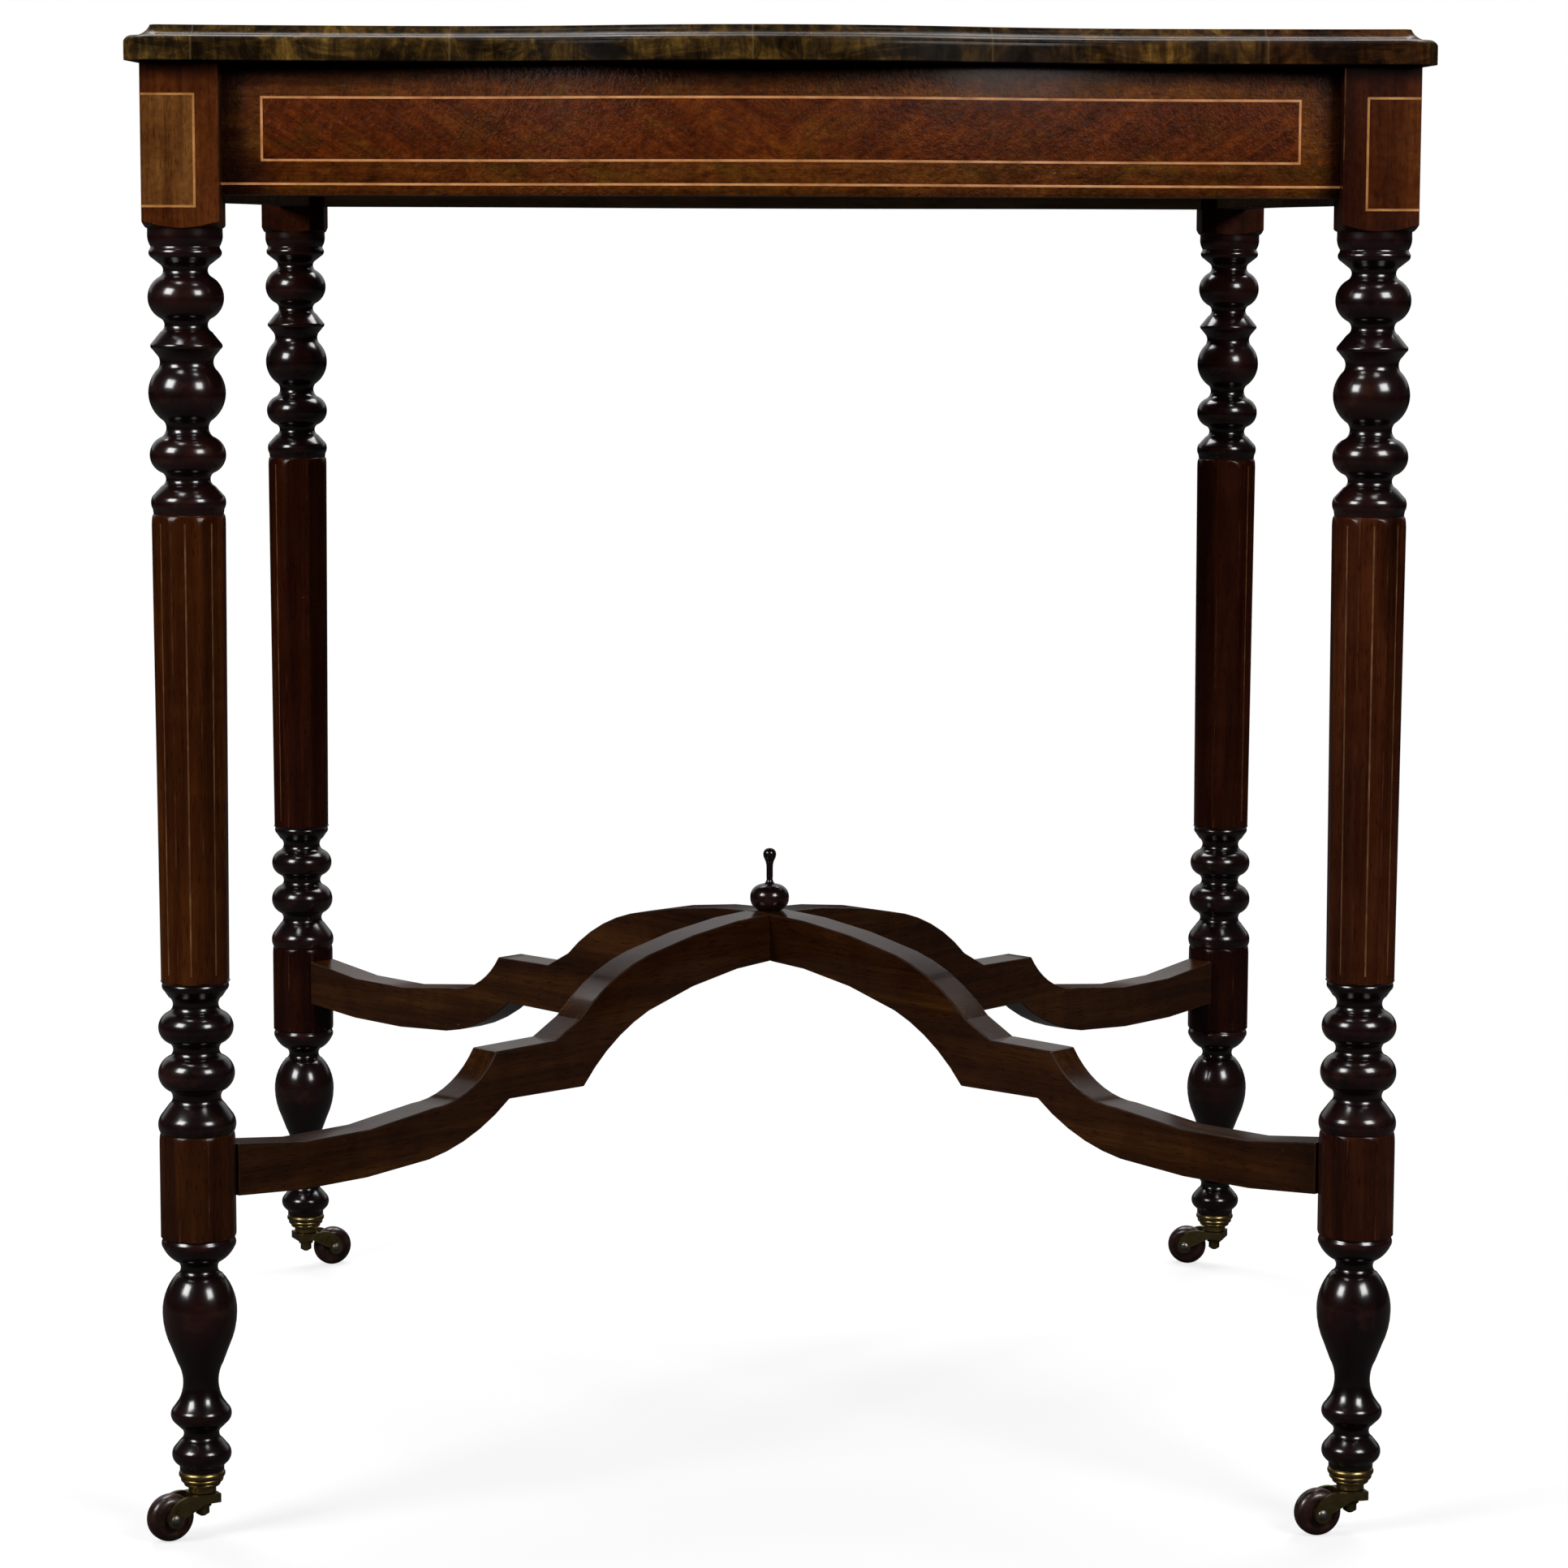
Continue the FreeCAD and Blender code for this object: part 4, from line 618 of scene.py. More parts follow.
def make_apron(side, woods, inlay):
    """A serpentine apron and the pale lines let into its face."""
    board = [apron_strip(0.0, APRON_THICKNESS, -APRON_REACH, APRON_REACH, APRON_BOTTOM, BLOCK_TOP - 0.05)]
    apron = strip_object("apron_board_" + side, board, SIDES[side], woods, 0.5, (0, 1, 1, 2))
    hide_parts("apron_" + side)

    half = STRING_WIDTH / 2
    panel_end = PANEL_HALF + half
    strips = []
    for level, end in ((BASE_LINE, APRON_REACH), (PANEL_LINES[0], panel_end), (PANEL_LINES[1], panel_end)):
        strips.append(apron_strip(-PROUD, STRING_DEPTH, -end, end, level - half, level + half))
    for place in (-PANEL_HALF, PANEL_HALF):
        strips.append(apron_strip(-PROUD, STRING_DEPTH, place - half, place + half,
                                  PANEL_LINES[0] + half, PANEL_LINES[1] - half, 1))
    lines = strip_object("apron_lines_" + side, strips, SIDES[side], [inlay])
    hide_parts("apron_stringing_" + side)


def top_ring(inset, level):
    """The top's outline at an inset from its widest edge, as points of one closed ring."""
    cant = (TOP_CORNER + TOP_REACH) - inset * math.sqrt(2)
    low, high = TOP_TURN, TOP_CORNER
    for _ in range(40):
        reach = (low + high) / 2
        if reach + TOP_CURVE.out(inset, reach) < cant:
            low = reach
        else:
            high = reach
    ring = []
    for quarter in range(4):
        side = [(x, -TOP_CURVE.out(inset, x), level) for x in np.linspace(-reach, reach, TOP_STEPS)]
        ring += [tuple(point) for point in turned_about(side, 90 * quarter)]
    return ring


def make_top(field, edge, underside):
    """The top: a level field, then cove, quarter round, fascia and underside."""
    fascia_top = BLOCK_TOP + FASCIA_HEIGHT
    round_top = fascia_top + ROUND_RISE
    rows = [
        [(FASCIA_INSET, BLOCK_TOP + 0.3)], [(FASCIA_INSET, fascia_top)],
        [(0.34 * ROUND_RUN, fascia_top + 0.78 * ROUND_RISE), (ROUND_RUN, round_top)],
        [(ROUND_RUN + 0.62 * COVE_RUN, round_top + 0.34 * (TABLE_TOP - round_top)),
         (ROUND_RUN + COVE_RUN - 0.1, TABLE_TOP)],
    ]
    profile = [(0.4, BLOCK_TOP)] + trace(rows, 1.5)
    rings = [top_ring(inset, level) for inset, level in profile]
    rings.append(top_ring(ROUND_RUN + COVE_RUN + 0.3, TABLE_TOP))
    field_ring = np.array(rings[-1])
    for share in (0.7, 0.4, 0.1):
        rings.append([(x * share, y * share, z) for x, y, z in field_ring])
    count = len(rings[0])
    vertices = [point for ring in rings for point in ring]
    faces = grid_faces(len(rings), count)
    edge_rows = len(profile) - 1
    index = [1] * (edge_rows * count) + [0] * ((len(rings) - 1 - edge_rows) * count)
    faces += [tuple(range(count))[::-1], tuple((len(rings) - 1) * count + j for j in range(count))]
    index += [2, 0]
    piece = new_object("top_board", np.array(vertices) * MM, faces, index, [field, edge, underside])
    smooth(piece, 30)
    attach(piece, "table")
    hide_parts("table_top")


def wheel_outline():
    """Section of a wheel as (radius, place along the axle) pairs."""
    soft = WHEEL_ROUNDING
    rows = [
        [(1.65, -WHEEL_HALF)], [(3.45, -WHEEL_HALF)], [(3.8, -WHEEL_HALF + 0.8)],
        [(7.4, -WHEEL_HALF + 0.8)], [(7.82, -WHEEL_HALF)], [(WHEEL_RADIUS - soft, -WHEEL_HALF)],
        [(WHEEL_RADIUS - 0.29 * soft, -WHEEL_HALF + 0.29 * soft), (WHEEL_RADIUS, -WHEEL_HALF + soft)],
    ]
    lower = trace(rows)
    return lower + [(r, -z) for r, z in reversed(lower)]


def make_caster(corner, brass, wheel_material):
    """Fine cup and wheel of one caster. The fork, pin and axle keep their own shapes."""
    centre = corner_centre(corner)
    rows = [
        [(3.4, CUP_NECK[1])], [(CUP_NECK[0] - 0.3, CUP_NECK[1])], [(CUP_NECK[0], CUP_NECK[1] + 0.3)],
        [(CUP_NECK[0], CUP_BOTTOM)],
    ]
    for low, high, reach in cup_ring_shares:
        start, end = CUP_BOTTOM + low * CUP_HEIGHT, CUP_BOTTOM + high * CUP_HEIGHT
        radius = reach * CUP_RADIUS
        rows += [[(radius - 0.6, start)], [(radius, (start + end) / 2), (radius - 0.5, end)]]
    rows += [[(SPIGOT_RADIUS + 0.5, CASTER_HEIGHT)], [(SPIGOT_RADIUS + 0.05, CASTER_HEIGHT)]]
    cup = lathe("cup_" + corner, trace(rows), CUP_SEGMENTS, [brass], 0, centre)
    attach(cup, "table")
    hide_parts("caster_cup_" + corner)
    turn = TRAIL_ANGLES[corner]
    tilt = Matrix.Rotation(math.radians(90), 3, "X")
    trail = (
        centre[0] + WHEEL_TRAIL * math.cos(math.radians(turn)),
        centre[1] + WHEEL_TRAIL * math.sin(math.radians(turn)),
    )
    wheel = lathe("wheel_" + corner, wheel_outline(), WHEEL_SEGMENTS, [wheel_material], turn, trail, tilt)
    for vertex in wheel.data.vertices:
        vertex.co.z += WHEEL_RADIUS * MM
    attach(wheel, "wheel_" + corner)
    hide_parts("caster_wheel_" + corner)


class Tree:
    """A small builder of the nodes of a material or world."""

    def __init__(self, tree):
        self.tree = tree

    def add(self, kind, **settings):
        """A new node, with values for the inputs or properties that are named."""
        node = self.tree.nodes.new(kind)
        for key, setting in settings.items():
            if key in node.inputs:
                node.inputs[key].default_value = setting
            else:
                setattr(node, key, setting)
        return node

    def feed(self, socket, item):
        """Give a socket a number, a colour or another node's output."""
        if isinstance(item, (int, float)):
            socket.default_value = item
        elif isinstance(item, tuple):
            socket.default_value = (*item, 1.0)[:len(socket.default_value)]
        else:
            self.tree.links.new(item, socket)

    def feed_all(self, node, items):
        """Feed a node's inputs, picked by number or name."""
        for key, item in items.items():
            self.feed(node.inputs[key], item)
        return node

    def axes(self, source):
        return tuple(self.feed_all(self.add("ShaderNodeSeparateXYZ"), {0: source}).outputs)

    def joined(self, x, y, z):
        return self.feed_all(self.add("ShaderNodeCombineXYZ"), {0: x, 1: y, 2: z}).outputs[0]

    def calc(self, operation, first, second=0.0):
        node = self.add("ShaderNodeMath", operation=operation)
        return self.feed_all(node, {0: first, 1: second}).outputs[0]

    def product(self, first, second):
        return self.calc("MULTIPLY", first, second)

    def spread(self, source, low, high, start=0.0, end=1.0, smooth=False):
        """Map the span from start to end onto the span from low to high."""
        limits = {"From Min": start, "From Max": end, "To Min": low, "To Max": high}
        node = self.add("ShaderNodeMapRange", **limits)
        if smooth:
            node.interpolation_type = "SMOOTHSTEP"
        return self.feed_all(node, {"Value": source}).outputs["Result"]

    def picked(self, factor, first, second):
        """A number between two others."""
        node = self.add("ShaderNodeMix", data_type="FLOAT")
        return self.feed_all(node, {0: factor, 2: first, 3: second}).outputs[0]

    def layered(self, factor, first, second):
        """One shader over another."""
        node = self.add("ShaderNodeMixShader")
        return self.feed_all(node, {0: factor, 1: first, 2: second}).outputs[0]

    def to_camera(self):
        return self.add("ShaderNodeLightPath").outputs["Is Camera Ray"]


class Nodes(Tree):
    """The nodes of one material."""

    def __init__(self, name):
        self.material = bpy.data.materials.new(name)
        self.material.use_nodes = True
        super().__init__(self.material.node_tree)
        self.shader = self.tree.nodes["Principled BSDF"]
        self.place = self.add("ShaderNodeTexCoord").outputs["Object"]

    def between(self, value, low, high, soft=LINE_SOFTNESS):
        """One between two places and nought outside them, with a soft edge."""
        rise = self.spread(value, 0.0, 1.0, low - soft, low + soft)
        fall = self.spread(value, 1.0, 0.0, high - soft, high + soft)
        return self.product(rise, fall)

    def texture(self, scale, detail, roughness, distortion=0.0, turn=0.0, source=None):
        """Noise over coordinates that are turned about Z, then scaled alike or along each axis."""
        scale = scale if isinstance(scale, tuple) else (scale, scale, scale)
        spin = self.add("ShaderNodeMapping", Rotation=(0, 0, math.radians(turn)))
        self.feed(spin.inputs["Vector"], source or self.place)
        size = self.add("ShaderNodeMapping", Scale=scale)
        self.feed(size.inputs["Vector"], spin.outputs["Vector"])
        inputs = {"Vector": size.outputs["Vector"], "Scale": 1.0, "Detail": detail,
                  "Roughness": roughness, "Distortion": distortion}
        return self.feed_all(self.add("ShaderNodeTexNoise"), inputs).outputs["Fac"]

    def ramp(self, source, places, tones):
        """Tones at places of a source, blended from one to the next."""
        node = self.add("ShaderNodeValToRGB")
        band = node.color_ramp
        while len(band.elements) < len(places):
            band.elements.new(0.5)
        for element, place, tone in zip(band.elements, places, tones):
            element.position = place
            element.color = (*tone, 1.0)
        return self.feed_all(node, {"Fac": source}).outputs["Color"]

    def blend(self, kind, factor, first, second):
        node = self.add("ShaderNodeMix", data_type="RGBA", blend_type=kind)
        return self.feed_all(node, {0: factor, 6: first, 7: second}).outputs[2]

    def mottled(self, colour, strength, source, dark, pale):
        """Multiply a colour by tints that follow a noise; each tint comes with its place in the noise."""
        return self.blend("MULTIPLY", strength, colour, self.ramp(source, *zip(dark, pale)))

    def shaded(self, colour, place, start, end, tint):
        """Multiply a colour by a tint that grows from one place to another, in millimetres."""
        grows = (0.0, 1.0) if start < end else (1.0, 0.0)
        low, high = sorted((start, end))
        return self.blend("MULTIPLY", self.spread(place, *grows, low * MM, high * MM, True), colour, tint)

    def bump(self, source, strength, distance, normal=None):
        node = self.add("ShaderNodeBump", Strength=strength, Distance=distance)
        if normal is not None:
            self.feed(node.inputs["Normal"], normal)
        return self.feed_all(node, {"Height": source}).outputs["Normal"]

    def attribute(self, name):
        return self.add("ShaderNodeAttribute", attribute_name=name).outputs["Fac"]

    def clouded(self, low, high, scale=22):
        """Roughness that drifts between two values, as hand-rubbed polish does."""
        return self.spread(self.texture(scale, 4.0, 0.6), low, high, 0.3, 0.7)

    def finish(self, colour, roughness, normal, coat=0.0, coat_roughness=0.08, specular=0.5, metallic=0.0):
        inputs = {"Base Color": colour, "Roughness": roughness, "Normal": normal, "Metallic": metallic,
                  "Coat Weight": coat, "Coat Roughness": coat_roughness, "Specular IOR Level": specular}
        self.feed_all(self.shader, inputs)
        return self.material


class Board:
    """Grain of one board: slow bands, fibres and pores along its length, and a figure across."""

    def __init__(self, n, along, turn=0.0, source=None, fineness=1.0):
        axis = "XYZ".index(along)

        def grain(along_scale, across_scale, *character):
            scale = [across_scale * fineness] * 3
            scale[axis] = along_scale * fineness
            return n.texture(tuple(scale), *character, turn=turn, source=source)

        self.n = n
        self.bands = grain(3.5, 48, 4.0, 0.62, 0.7)
        self.fibres = grain(16, 460, 3.0, 0.6, 0.2)
        self.figure = grain(30, 15, 3.0, 0.55, 1.4)
        self.pores = grain(150, 1500, 1.0, 0.5)

    def colour(self, tones, figure):
        n = self.n
        tone = n.ramp(self.bands, (0.28, 0.5, 0.74), tones)
        tone = n.mottled(tone, 0.6, self.fibres, (0.34, (0.50, 0.44, 0.42)), (0.58, PLAIN))
        tone = n.mottled(tone, figure, self.figure, (0.34, (0.46, 0.38, 0.34)), (0.64, PLAIN))
        open_pores = n.spread(self.pores, 0.0, 0.7, 0.60, 0.70)
        return n.blend("MULTIPLY", open_pores, tone, (0.30, 0.22, 0.20))

    def relief(self, ripple_strength=0.12):
        """Slow unevenness of the polish with the pores sunk through it."""
        ripple = self.n.texture(34, 1.0, 0.4)
        return self.n.bump(self.pores, 0.10, 0.0001, self.n.bump(ripple, ripple_strength, 0.0012))


def add_scuffs(n, colour, tone, density=0.70):
    """Small pale rubs and chips in the polish, thinly spread."""
    rubbed = n.spread(n.texture((70, 70, 150), 5.0, 0.72, 0.5), 0.0, 1.0, density, density + 0.05)
    patches = n.spread(n.texture(7, 2.0, 0.5), 0.0, 1.0, 0.5, 0.6)
    return n.blend("MIX", n.product(rubbed, patches), colour, tone)


def add_arris_wear(n, colour, tone):
    """Arrises rubbed through to paler wood, here more and there less."""
    uneven = n.spread(n.texture((60, 60, 45), 4.0, 0.65), 0.0, 1.0, 0.42, 0.66)
    reach = n.product(n.attribute("arris"), uneven)
    return n.blend("MIX", n.spread(reach, 0.0, 0.85, 0.25, 0.8), colour, tone)


def apron_wood(name, along):
    """Apron veneer: faint mirrored slanting figure inside the pale panel, straight grain round it."""
    n = Nodes(name)
    x, y, z = n.axes(n.place)
    run, deep = (x, y) if along == "X" else (y, x)
    away = n.calc("ABSOLUTE", run)
    straight = Board(n, along)
    slanting = Board(n, "X", PANEL_SLANT, n.joined(away, z, deep), PANEL_FINENESS)
    in_panel = n.product(n.between(away, -1.0, PANEL_HALF * MM),
                         n.between(z, PANEL_LINES[0] * MM, PANEL_LINES[1] * MM))
    colour = n.blend("MIX", in_panel, straight.colour(TONES["apron band"], 0.35),
                     slanting.colour(TONES["apron panel"], 0.35))
    speckle = n.texture(260, 4.0, 0.7, 0.6)
    colour = n.mottled(colour, 0.75, speckle, (0.34, (0.42, 0.38, 0.40)), (0.62, (1.12, 1.1, 1.0)))
    olive = n.spread(n.texture((38, 38, 80), 4.0, 0.65, 0.8), 0.0, 0.85, 0.5, 0.66)
    colour = n.blend("MULTIPLY", olive, colour, (0.82, 1.26, 0.95))
    patches = n.texture((70, 70, 95), 5.0, 0.7, 1.0)
    colour = n.mottled(colour, 0.7, patches, (0.38, (0.62, 0.52, 0.50)), (0.60, (1.14, 1.14, 1.1)))
    # Painted shade: the apron darkens to a purplish brown towards its ends beside the leg blocks, along a
    # wavering edge
    end_shade_wobble = n.spread(n.texture((9, 9, 30), 3.0, 0.6), -0.012, 0.012, 0.3, 0.7)
    uneven_away = n.calc("ADD", away, end_shade_wobble)
    colour = n.shaded(colour, uneven_away, PANEL_HALF - 6, APRON_REACH - 3, (0.26, 0.24, 0.70))
    # Painted shadow of the top's overhang, darkest just beneath it
    colour = n.shaded(colour, z, BLOCK_TOP - 15, BLOCK_TOP - 2, (0.12, 0.11, 0.14))
    # Painted shade on the lowest few millimetres, darkest at the bottom edge
    colour = n.shaded(colour, z, BASE_LINE - 1.5, APRON_BOTTOM + 1.0, (0.62, 0.66, 0.80))
    colour = add_scuffs(n, colour, (0.30, 0.22, 0.20), 0.66)
    crackle = n.bump(n.texture(420, 3.0, 0.7), 0.5, 0.0018, straight.relief())
    return n.finish(colour, n.clouded(0.24, 0.40), crackle, coat=0.04, coat_roughness=0.18, specular=0.07)


def block_wood(name, panel_tones, rail_tones):
    """Square block of a leg, its veneered panel paler than the wood round the inlaid line."""
    n = Nodes(name)
    x, y, z = n.axes(n.place)
    board = Board(n, "Z")
    line = (LEG_PLACE - BLOCK_HALF + BLOCK_LINE_INSET) * MM
    past_line = n.product(*(n.between(n.calc("ABSOLUTE", side), line, 1.0) for side in (x, y)))
    in_panel = n.product(past_line, n.between(z, BLOCK_LINES[0] * MM, BLOCK_LINES[1] * MM))
    colour = n.blend("MIX", in_panel, board.colour(rail_tones, 0.45), board.colour(panel_tones, 0.6))
    speckle = n.texture(240, 4.0, 0.7, 0.6)
    colour = n.mottled(colour, 0.6, speckle, (0.36, (0.5, 0.46, 0.46)), (0.62, (1.1, 1.1, 1.05)))
    # Painted shadow of the top's overhang on the upper end of the block
    colour = n.shaded(colour, z, BLOCK_TOP - 11, BLOCK_TOP - 3, (0.22, 0.20, 0.26))
    colour = add_arris_wear(n, colour, (0.11, 0.045, 0.020))
    colour = add_scuffs(n, colour, (0.26, 0.17, 0.13))
    cloud = n.clouded(0.20, 0.36)
    return n.finish(colour, cloud, board.relief(), coat=0.08, coat_roughness=0.14, specular=0.10)


def shaft_wood(name, tones):
    """Faceted lengths of a leg: straight upright grain, arrises rubbed paler, painted shade darker low down.
    """
    n = Nodes(name)
    board = Board(n, "Z")
    x, y, z = n.axes(n.place)
    # Painted shade: the low block comes out darker than the shaft above
    colour = n.shaded(board.colour(tones, 0.45), z, LOW_SHADE[1], LOW_SHADE[0], (0.60, 0.62, 0.90))
    colour = add_arris_wear(n, colour, (0.080, 0.028, 0.013))
    colour = add_scuffs(n, colour, (0.26, 0.16, 0.12), 0.71)
    cloud = n.clouded(0.20, 0.32)
    return n.finish(colour, cloud, board.relief(), coat=0.12, coat_roughness=0.10, specular=0.10)


def rail_wood(name, turn):
    """Dark polished rails, with olive-brown streaks along them."""
    n = Nodes(name)
    board = Board(n, "X", turn)
    colour = add_scuffs(n, board.colour(TONES["rail"], 0.55), (0.16, 0.10, 0.07))
    cloud = n.clouded(0.15, 0.28)
    return n.finish(colour, cloud, board.relief(0.06), coat=0.45, coat_roughness=0.11, specular=0.10)


def worn_edge_wood(name, dark, pale):
    """Edges rubbed by hands and cloths, between bare wood and what is left of the polish."""
    n = Nodes(name)
    rubbed = n.texture(55, 5.0, 0.68, 0.4)
    colour = n.ramp(rubbed, (0.38, 0.62), (dark, pale))
    relief = n.bump(rubbed, 0.08, 0.0003)
    return n.finish(colour, n.clouded(0.26, 0.42, 60), relief, coat=0.2, coat_roughness=0.15, specular=0.35)


def top_wood(name):
    """The level field of the top: book-matched flame in polished mahogany."""
    n = Nodes(name)
    x, y, z = n.axes(n.place)
    matched = n.joined(n.calc("ABSOLUTE", x), y, z)
    board = Board(n, "Y", FLAME_SLANT, matched)
    flame = n.texture((16, 5, 1), 5.0, 0.6, 1.8, FLAME_SLANT, matched)
    colour = board.colour(TONES["top"], 0.6)
    colour = n.mottled(colour, 0.65, flame, (0.38, (0.40, 0.32, 0.28)), (0.62, PLAIN))
    seam = n.between(x, -SEAM_HALF, SEAM_HALF, SEAM_SOFTNESS)
    colour = n.blend("MULTIPLY", seam, colour, (0.25, 0.2, 0.2))
    colour = add_scuffs(n, colour, (0.20, 0.11, 0.06), 0.72)
    scratches = n.bump(n.texture((420, 9, 1), 2.0, 0.5, turn=33), 0.04, 0.0002, board.relief(0.04))
    return n.finish(colour, n.clouded(0.46, 0.52, 6), scratches, coat=0.0, coat_roughness=0.30, specular=0.08)


def turned_wood(name):
    """Near-black polished turnings that show red on their crests, with dirt and painted shade darkening their
    necks.
    """
    n = Nodes(name)
    colour = n.ramp(n.texture((260, 260, 14), 3.0, 0.6, 0.3), (0.3, 0.7), TONES["turned"])
    red = n.spread(n.texture((18, 18, 9), 3.0, 0.55, 0.5), 0.0, 0.7, 0.44, 0.74)
    colour = n.blend("MIX", red, colour, (0.028, 0.0058, 0.0034))
    # Dirt and painted shade: the necks darken towards near black the deeper they lie
    neck_dirt_and_shade = n.spread(n.attribute("hollow"), 0.0, 0.85)
    colour = n.blend("MIX", neck_dirt_and_shade, colour, (0.0030, 0.0012, 0.0014))
    worn = n.spread(n.texture(90, 5.0, 0.7), 0.0, 1.0, 0.44, 0.76)
    crest = n.spread(n.product(n.attribute("crest"), worn), 0.0, 0.7, 0.2, 1.0)
    colour = n.blend("MIX", crest, colour, (0.040, 0.012, 0.007))
    ripple = n.bump(n.texture((60, 60, 160), 2.0, 0.5), 0.03, 0.0006)
    return n.finish(colour, n.clouded(0.14, 0.24, 90), ripple, coat=1.0, coat_roughness=0.18, specular=0.14)


def edge_veneer(name):
    """Cross-grained veneer on the moulded edge, laid in short lengths with seams between."""
    n = Nodes(name)
    x, y, z = n.axes(n.place)
    sideways = n.calc("GREATER_THAN", n.calc("ABSOLUTE", x), n.calc("ABSOLUTE", y))
    run = n.picked(sideways, x, y)

    def lengths(feature):
        cells = n.add("ShaderNodeTexVoronoi", voronoi_dimensions="1D", feature=feature)
        return n.feed_all(cells, {"W": run, "Scale": VENEER_LENGTHS}).outputs

    upright = n.texture((95, 95, 26), 6.0, 0.72, 1.2)
    olive = n.ramp(upright, (0.30, 0.46, 0.58, 0.74), TONES["edge olive"])
    brown = n.ramp(upright, (0.30, 0.70), TONES["edge brown"])
    brown_share = n.spread(lengths("F1")["Color"], 0.0, 0.8, 0.45, 0.65)
    colour = n.blend("MIX", brown_share, olive, brown)
    blotch = n.texture((24, 24, 60), 5.0, 0.7, 1.0)
    colour = n.mottled(colour, 0.9, blotch, (0.42, (0.18, 0.18, 0.24)), (0.60, (1.45, 1.4, 1.2)))
    slow = n.texture((11, 11, 3), 3.0, 0.6, 0.5)
    colour = n.mottled(colour, 0.7, slow, (0.40, (0.34, 0.32, 0.32)), (0.62, PLAIN))
    seam = n.spread(lengths("DISTANCE_TO_EDGE")["Distance"], 1.0, 0.0, 0.0, 0.006)
    colour = n.blend("MIX", n.product(seam, 0.35), colour, (0.15, 0.10, 0.045))
    colour = add_scuffs(n, colour, (0.22, 0.17, 0.12), 0.72)
    relief = n.bump(seam, 0.12, 0.0003, n.bump(upright, 0.08, 0.0005))
    return n.finish(colour, n.clouded(0.20, 0.40, 50), relief, coat=0.03, coat_roughness=0.16, specular=0.07)


def boxwood(name, tones):
    """Pale inlaid lines, stained by polish here and there."""
    n = Nodes(name)
    grain = n.texture(70, 5.0, 0.65)
    colour = n.ramp(grain, (0.3, 0.5, 0.7), tones)
    rough = n.spread(grain, 0.3, 0.48, 0.3, 0.7)
    return n.finish(colour, rough, n.bump(grain, 0.08, 0.0002), coat=0.25, coat_roughness=0.15, specular=0.35)


def aged_metal(name, tones, polished, tarnished):
    """Rubbed metal with tarnish in patches and fine scratches, each with its roughness."""
    n = Nodes(name)
    tarnish = n.texture(220, 5.0, 0.65, 0.3)
    colour = n.ramp(tarnish, (0.3, 0.52, 0.72), tones)
    scratches = n.bump(n.texture((900, 900, 120), 2.0, 0.6), 0.12, 0.0001)
    return n.finish(colour, n.spread(tarnish, tarnished, polished, 0.3, 0.7), scratches, metallic=1.0)


def wheel_brown(name):
    n = Nodes(name)
    dust = n.texture(160, 5.0, 0.65)
    colour = n.ramp(dust, (0.3, 0.58, 0.80), TONES["wheel"])
    rough = n.spread(dust, 0.24, 0.46, 0.3, 0.7)
    return n.finish(colour, rough, n.bump(dust, 0.10, 0.0002), coat=0.4, coat_roughness=0.14, specular=0.35)


def raw_wood(name, dark, light):
    """Unpolished wood of the hidden sides."""
    n = Nodes(name)
    grain = n.texture((12, 180, 180), 4.0, 0.6, 0.4)
    stain = n.texture(9, 3.0, 0.6)
    colour = n.ramp(grain, (0.3, 0.7), (dark, light))
    colour = n.mottled(colour, 0.7, stain, (0.38, (0.5, 0.46, 0.42)), (0.62, PLAIN))
    relief = n.bump(grain, 0.3, 0.0004)
    return n.finish(colour, n.spread(grain, 0.6, 0.8), relief, coat_roughness=0.1, specular=0.3)


def make_materials():
    # Darker tones for the two back shafts: painted shade
    shaded_back_shaft = shaft_wood("shaft mahogany dark", TONES["shaft dark"])
    return {
        "along_x": apron_wood("apron mahogany along x", "X"),
        "along_y": apron_wood("apron mahogany along y", "Y"),
        # The front left block is given paler tones than the other three
        "block_front_left": block_wood("block mahogany front left tones", TONES["block olive"], TONES["block brown"]),
        "block": block_wood("block mahogany", TONES["block brown"], TONES["block deep"]),
        "shaft": shaft_wood("shaft mahogany", TONES["shaft"]),
        "shaft_front_right": shaft_wood("shaft mahogany red", TONES["shaft red"]),
        "shaft_back_left": shaded_back_shaft,
        "shaft_back_right": shaded_back_shaft,
        "top": top_wood("top mahogany"),
        "rail_under": rail_wood("rail mahogany under", -45),
        "rail_over": rail_wood("rail mahogany over", -135),
        "worn": worn_edge_wood("worn mahogany edge", *TONES["worn edge"]),
        "turned": turned_wood("turned mahogany"),
        "edge": edge_veneer("edge veneer"),
        "boxwood": boxwood("boxwood stringing", TONES["boxwood"]),
        "block_boxwood": boxwood("boxwood stringing darkened", TONES["boxwood darkened"]),
        "shaft_boxwood": boxwood("boxwood stringing stained", TONES["boxwood stained"]),
        "cup": aged_metal("rubbed brass", TONES["rubbed brass"], 0.24, 0.42),
        "brass": aged_metal("dull brass", TONES["dull brass"], 0.30, 0.5),
        "steel": aged_metal("old steel", TONES["steel"], 0.3, 0.5),
        "wheel": wheel_brown("wheel brown"),
        "raw": raw_wood("raw secondary wood", *TONES["raw wood"]),
        "stained": raw_wood("stained underside", *TONES["stained wood"]),
    }


def dress_node(node, material):
    """Give one of the carried nodes a material."""
    mesh_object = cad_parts[node]
    if mesh_object.data.materials:
        for slot in mesh_object.material_slots:
            slot.material = material
    else:
        mesh_object.data.materials.append(material)


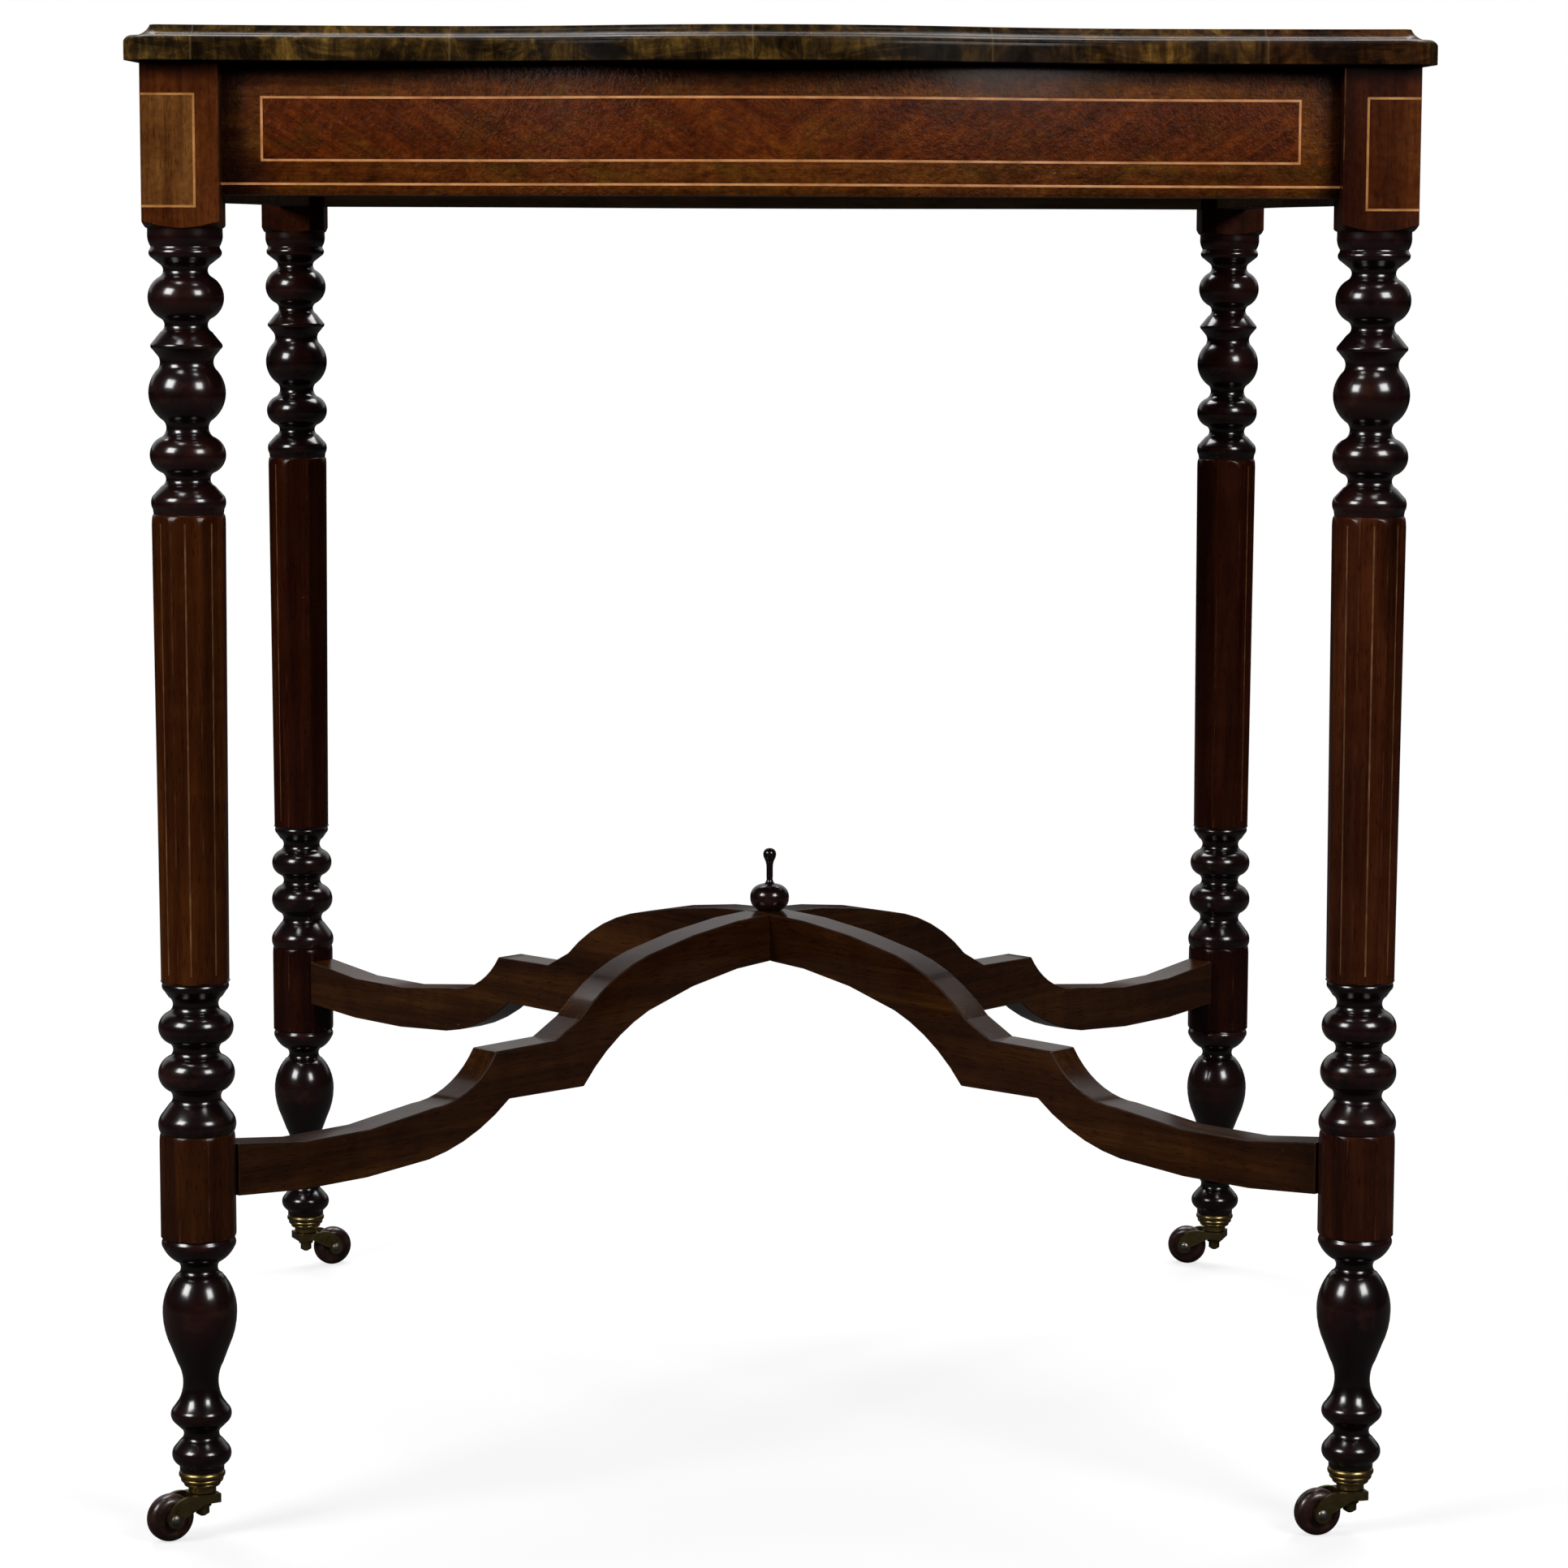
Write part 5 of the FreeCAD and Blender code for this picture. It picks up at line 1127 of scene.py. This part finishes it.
def make_pieces(materials):
    for corner in CORNERS:
        shaft = materials.get("shaft_" + corner, materials["shaft"])
        block = materials.get("block_" + corner, materials["block"])
        make_leg(corner, [materials["turned"], shaft, block])
        make_caster(corner, materials["cup"], materials["wheel"])
        for stem, key in CORNER_DRESS.items():
            dress_node(stem + "_" + corner, materials[key])
    dress_node("top_screws", materials["steel"])
    for side in SIDES:
        veneer = materials["along_x" if side in ("front", "back") else "along_y"]
        woods = [veneer] + [materials[key] for key in ("raw", "stained", "worn")]
        make_apron(side, woods, materials["boxwood"])
    worn = materials["worn"]
    make_rail("rail_lower_lap", "stretcher_rail_under", 45, "under", [materials["rail_under"], worn])
    make_rail("rail_upper_lap", "stretcher_rail_over", 135, "over", [materials["rail_over"], worn])
    make_finial(materials["turned"])
    make_top(materials["top"], materials["edge"], materials["stained"])


def make_camera():
    data = bpy.data.cameras.new("photo camera")
    data.sensor_width = SENSOR
    data.lens = FOCAL_PIXELS / PHOTO_WIDTH * SENSOR
    data.clip_start, data.clip_end = CAMERA_CLIP
    camera = bpy.data.objects.new("photo camera", data)
    camera.location = [value * MM for value in CAMERA_PLACE]
    yaw = Matrix.Rotation(math.radians(CAMERA_YAW), 3, "Z")
    pitch = Matrix.Rotation(math.radians(90 + CAMERA_PITCH), 3, "X")
    roll = Matrix.Rotation(math.radians(-CAMERA_ROLL), 3, "Z")
    camera.rotation_euler = (yaw @ pitch @ roll).to_euler()
    bpy.context.scene.collection.objects.link(camera)
    bpy.context.scene.camera = camera


def add_softbox(name, azimuth, elevation, distance, size, power):
    """A rectangular lamp aimed at the table's middle; azimuth 0 is over the camera."""
    data = bpy.data.lights.new(name, "AREA")
    data.shape = "RECTANGLE"
    data.size, data.size_y = size
    data.energy = power
    lamp = bpy.data.objects.new(name, data)
    a, e = math.radians(azimuth), math.radians(elevation)
    aim = Vector(LAMP_AIM)
    toward = Vector((math.sin(a) * math.cos(e), -math.cos(a) * math.cos(e), math.sin(e)))
    lamp.location = aim + distance * toward
    lamp.rotation_euler = (lamp.location - aim).to_track_quat("Z", "Y").to_euler()
    bpy.context.scene.collection.objects.link(lamp)


def make_floor():
    """A pale floor: white to the camera, with the table's faint shadow, and dim to all other rays."""
    corners = [(x * FLOOR_HALF, y * FLOOR_HALF, 0) for x, y in ((-1, -1), (1, -1), (1, 1), (-1, 1))]
    floor = new_object("floor", corners, [(0, 1, 2, 3)])
    n = Nodes("pale floor")
    n.tree.nodes.remove(n.shader)
    dim = n.add("ShaderNodeBsdfDiffuse", Color=FLOOR_DIM)
    seen = n.add("ShaderNodeBsdfDiffuse", Color=FLOOR_SEEN)
    glow = n.add("ShaderNodeEmission", Strength=1.0)
    reach = n.feed_all(n.add("ShaderNodeVectorMath", operation="LENGTH"), {0: n.place})
    fade = n.spread(reach.outputs["Value"], FLOOR_GLOW, 1.0, *FLOOR_FADE, True)
    white = n.layered(fade, seen.outputs[0], glow.outputs[0])
    surface = n.layered(n.to_camera(), dim.outputs[0], white)
    n.feed(n.tree.nodes["Material Output"].inputs["Surface"], surface)
    floor.data.materials.append(n.material)


def make_world():
    """White to the camera. To other rays it is dim, and brighter only low at the back."""
    world = bpy.data.worlds.new("even studio")
    bpy.context.scene.world = world
    world.use_nodes = True
    n = Tree(world.node_tree)
    x, y, z = n.axes(n.add("ShaderNodeTexCoord").outputs["Generated"])
    behind = n.spread(y, 0.0, 1.0, *WORLD_BEHIND, True)
    above = n.spread(z, 0.0, 1.0, *WORLD_ABOVE, True)
    level = n.spread(n.product(behind, above), WORLD_FRONT, WORLD_BACK, 0.0, 1.0, True)
    inputs = {"Color": (1.0, 1.0, 1.0), "Strength": n.picked(n.to_camera(), level, 1.0)}
    n.feed_all(n.tree.nodes["Background"], inputs)


bpy.context.scene.view_settings.view_transform = "Standard"
make_camera()
make_floor()
make_world()
for lamp_values in LAMPS:
    add_softbox(*lamp_values)
make_pieces(make_materials())
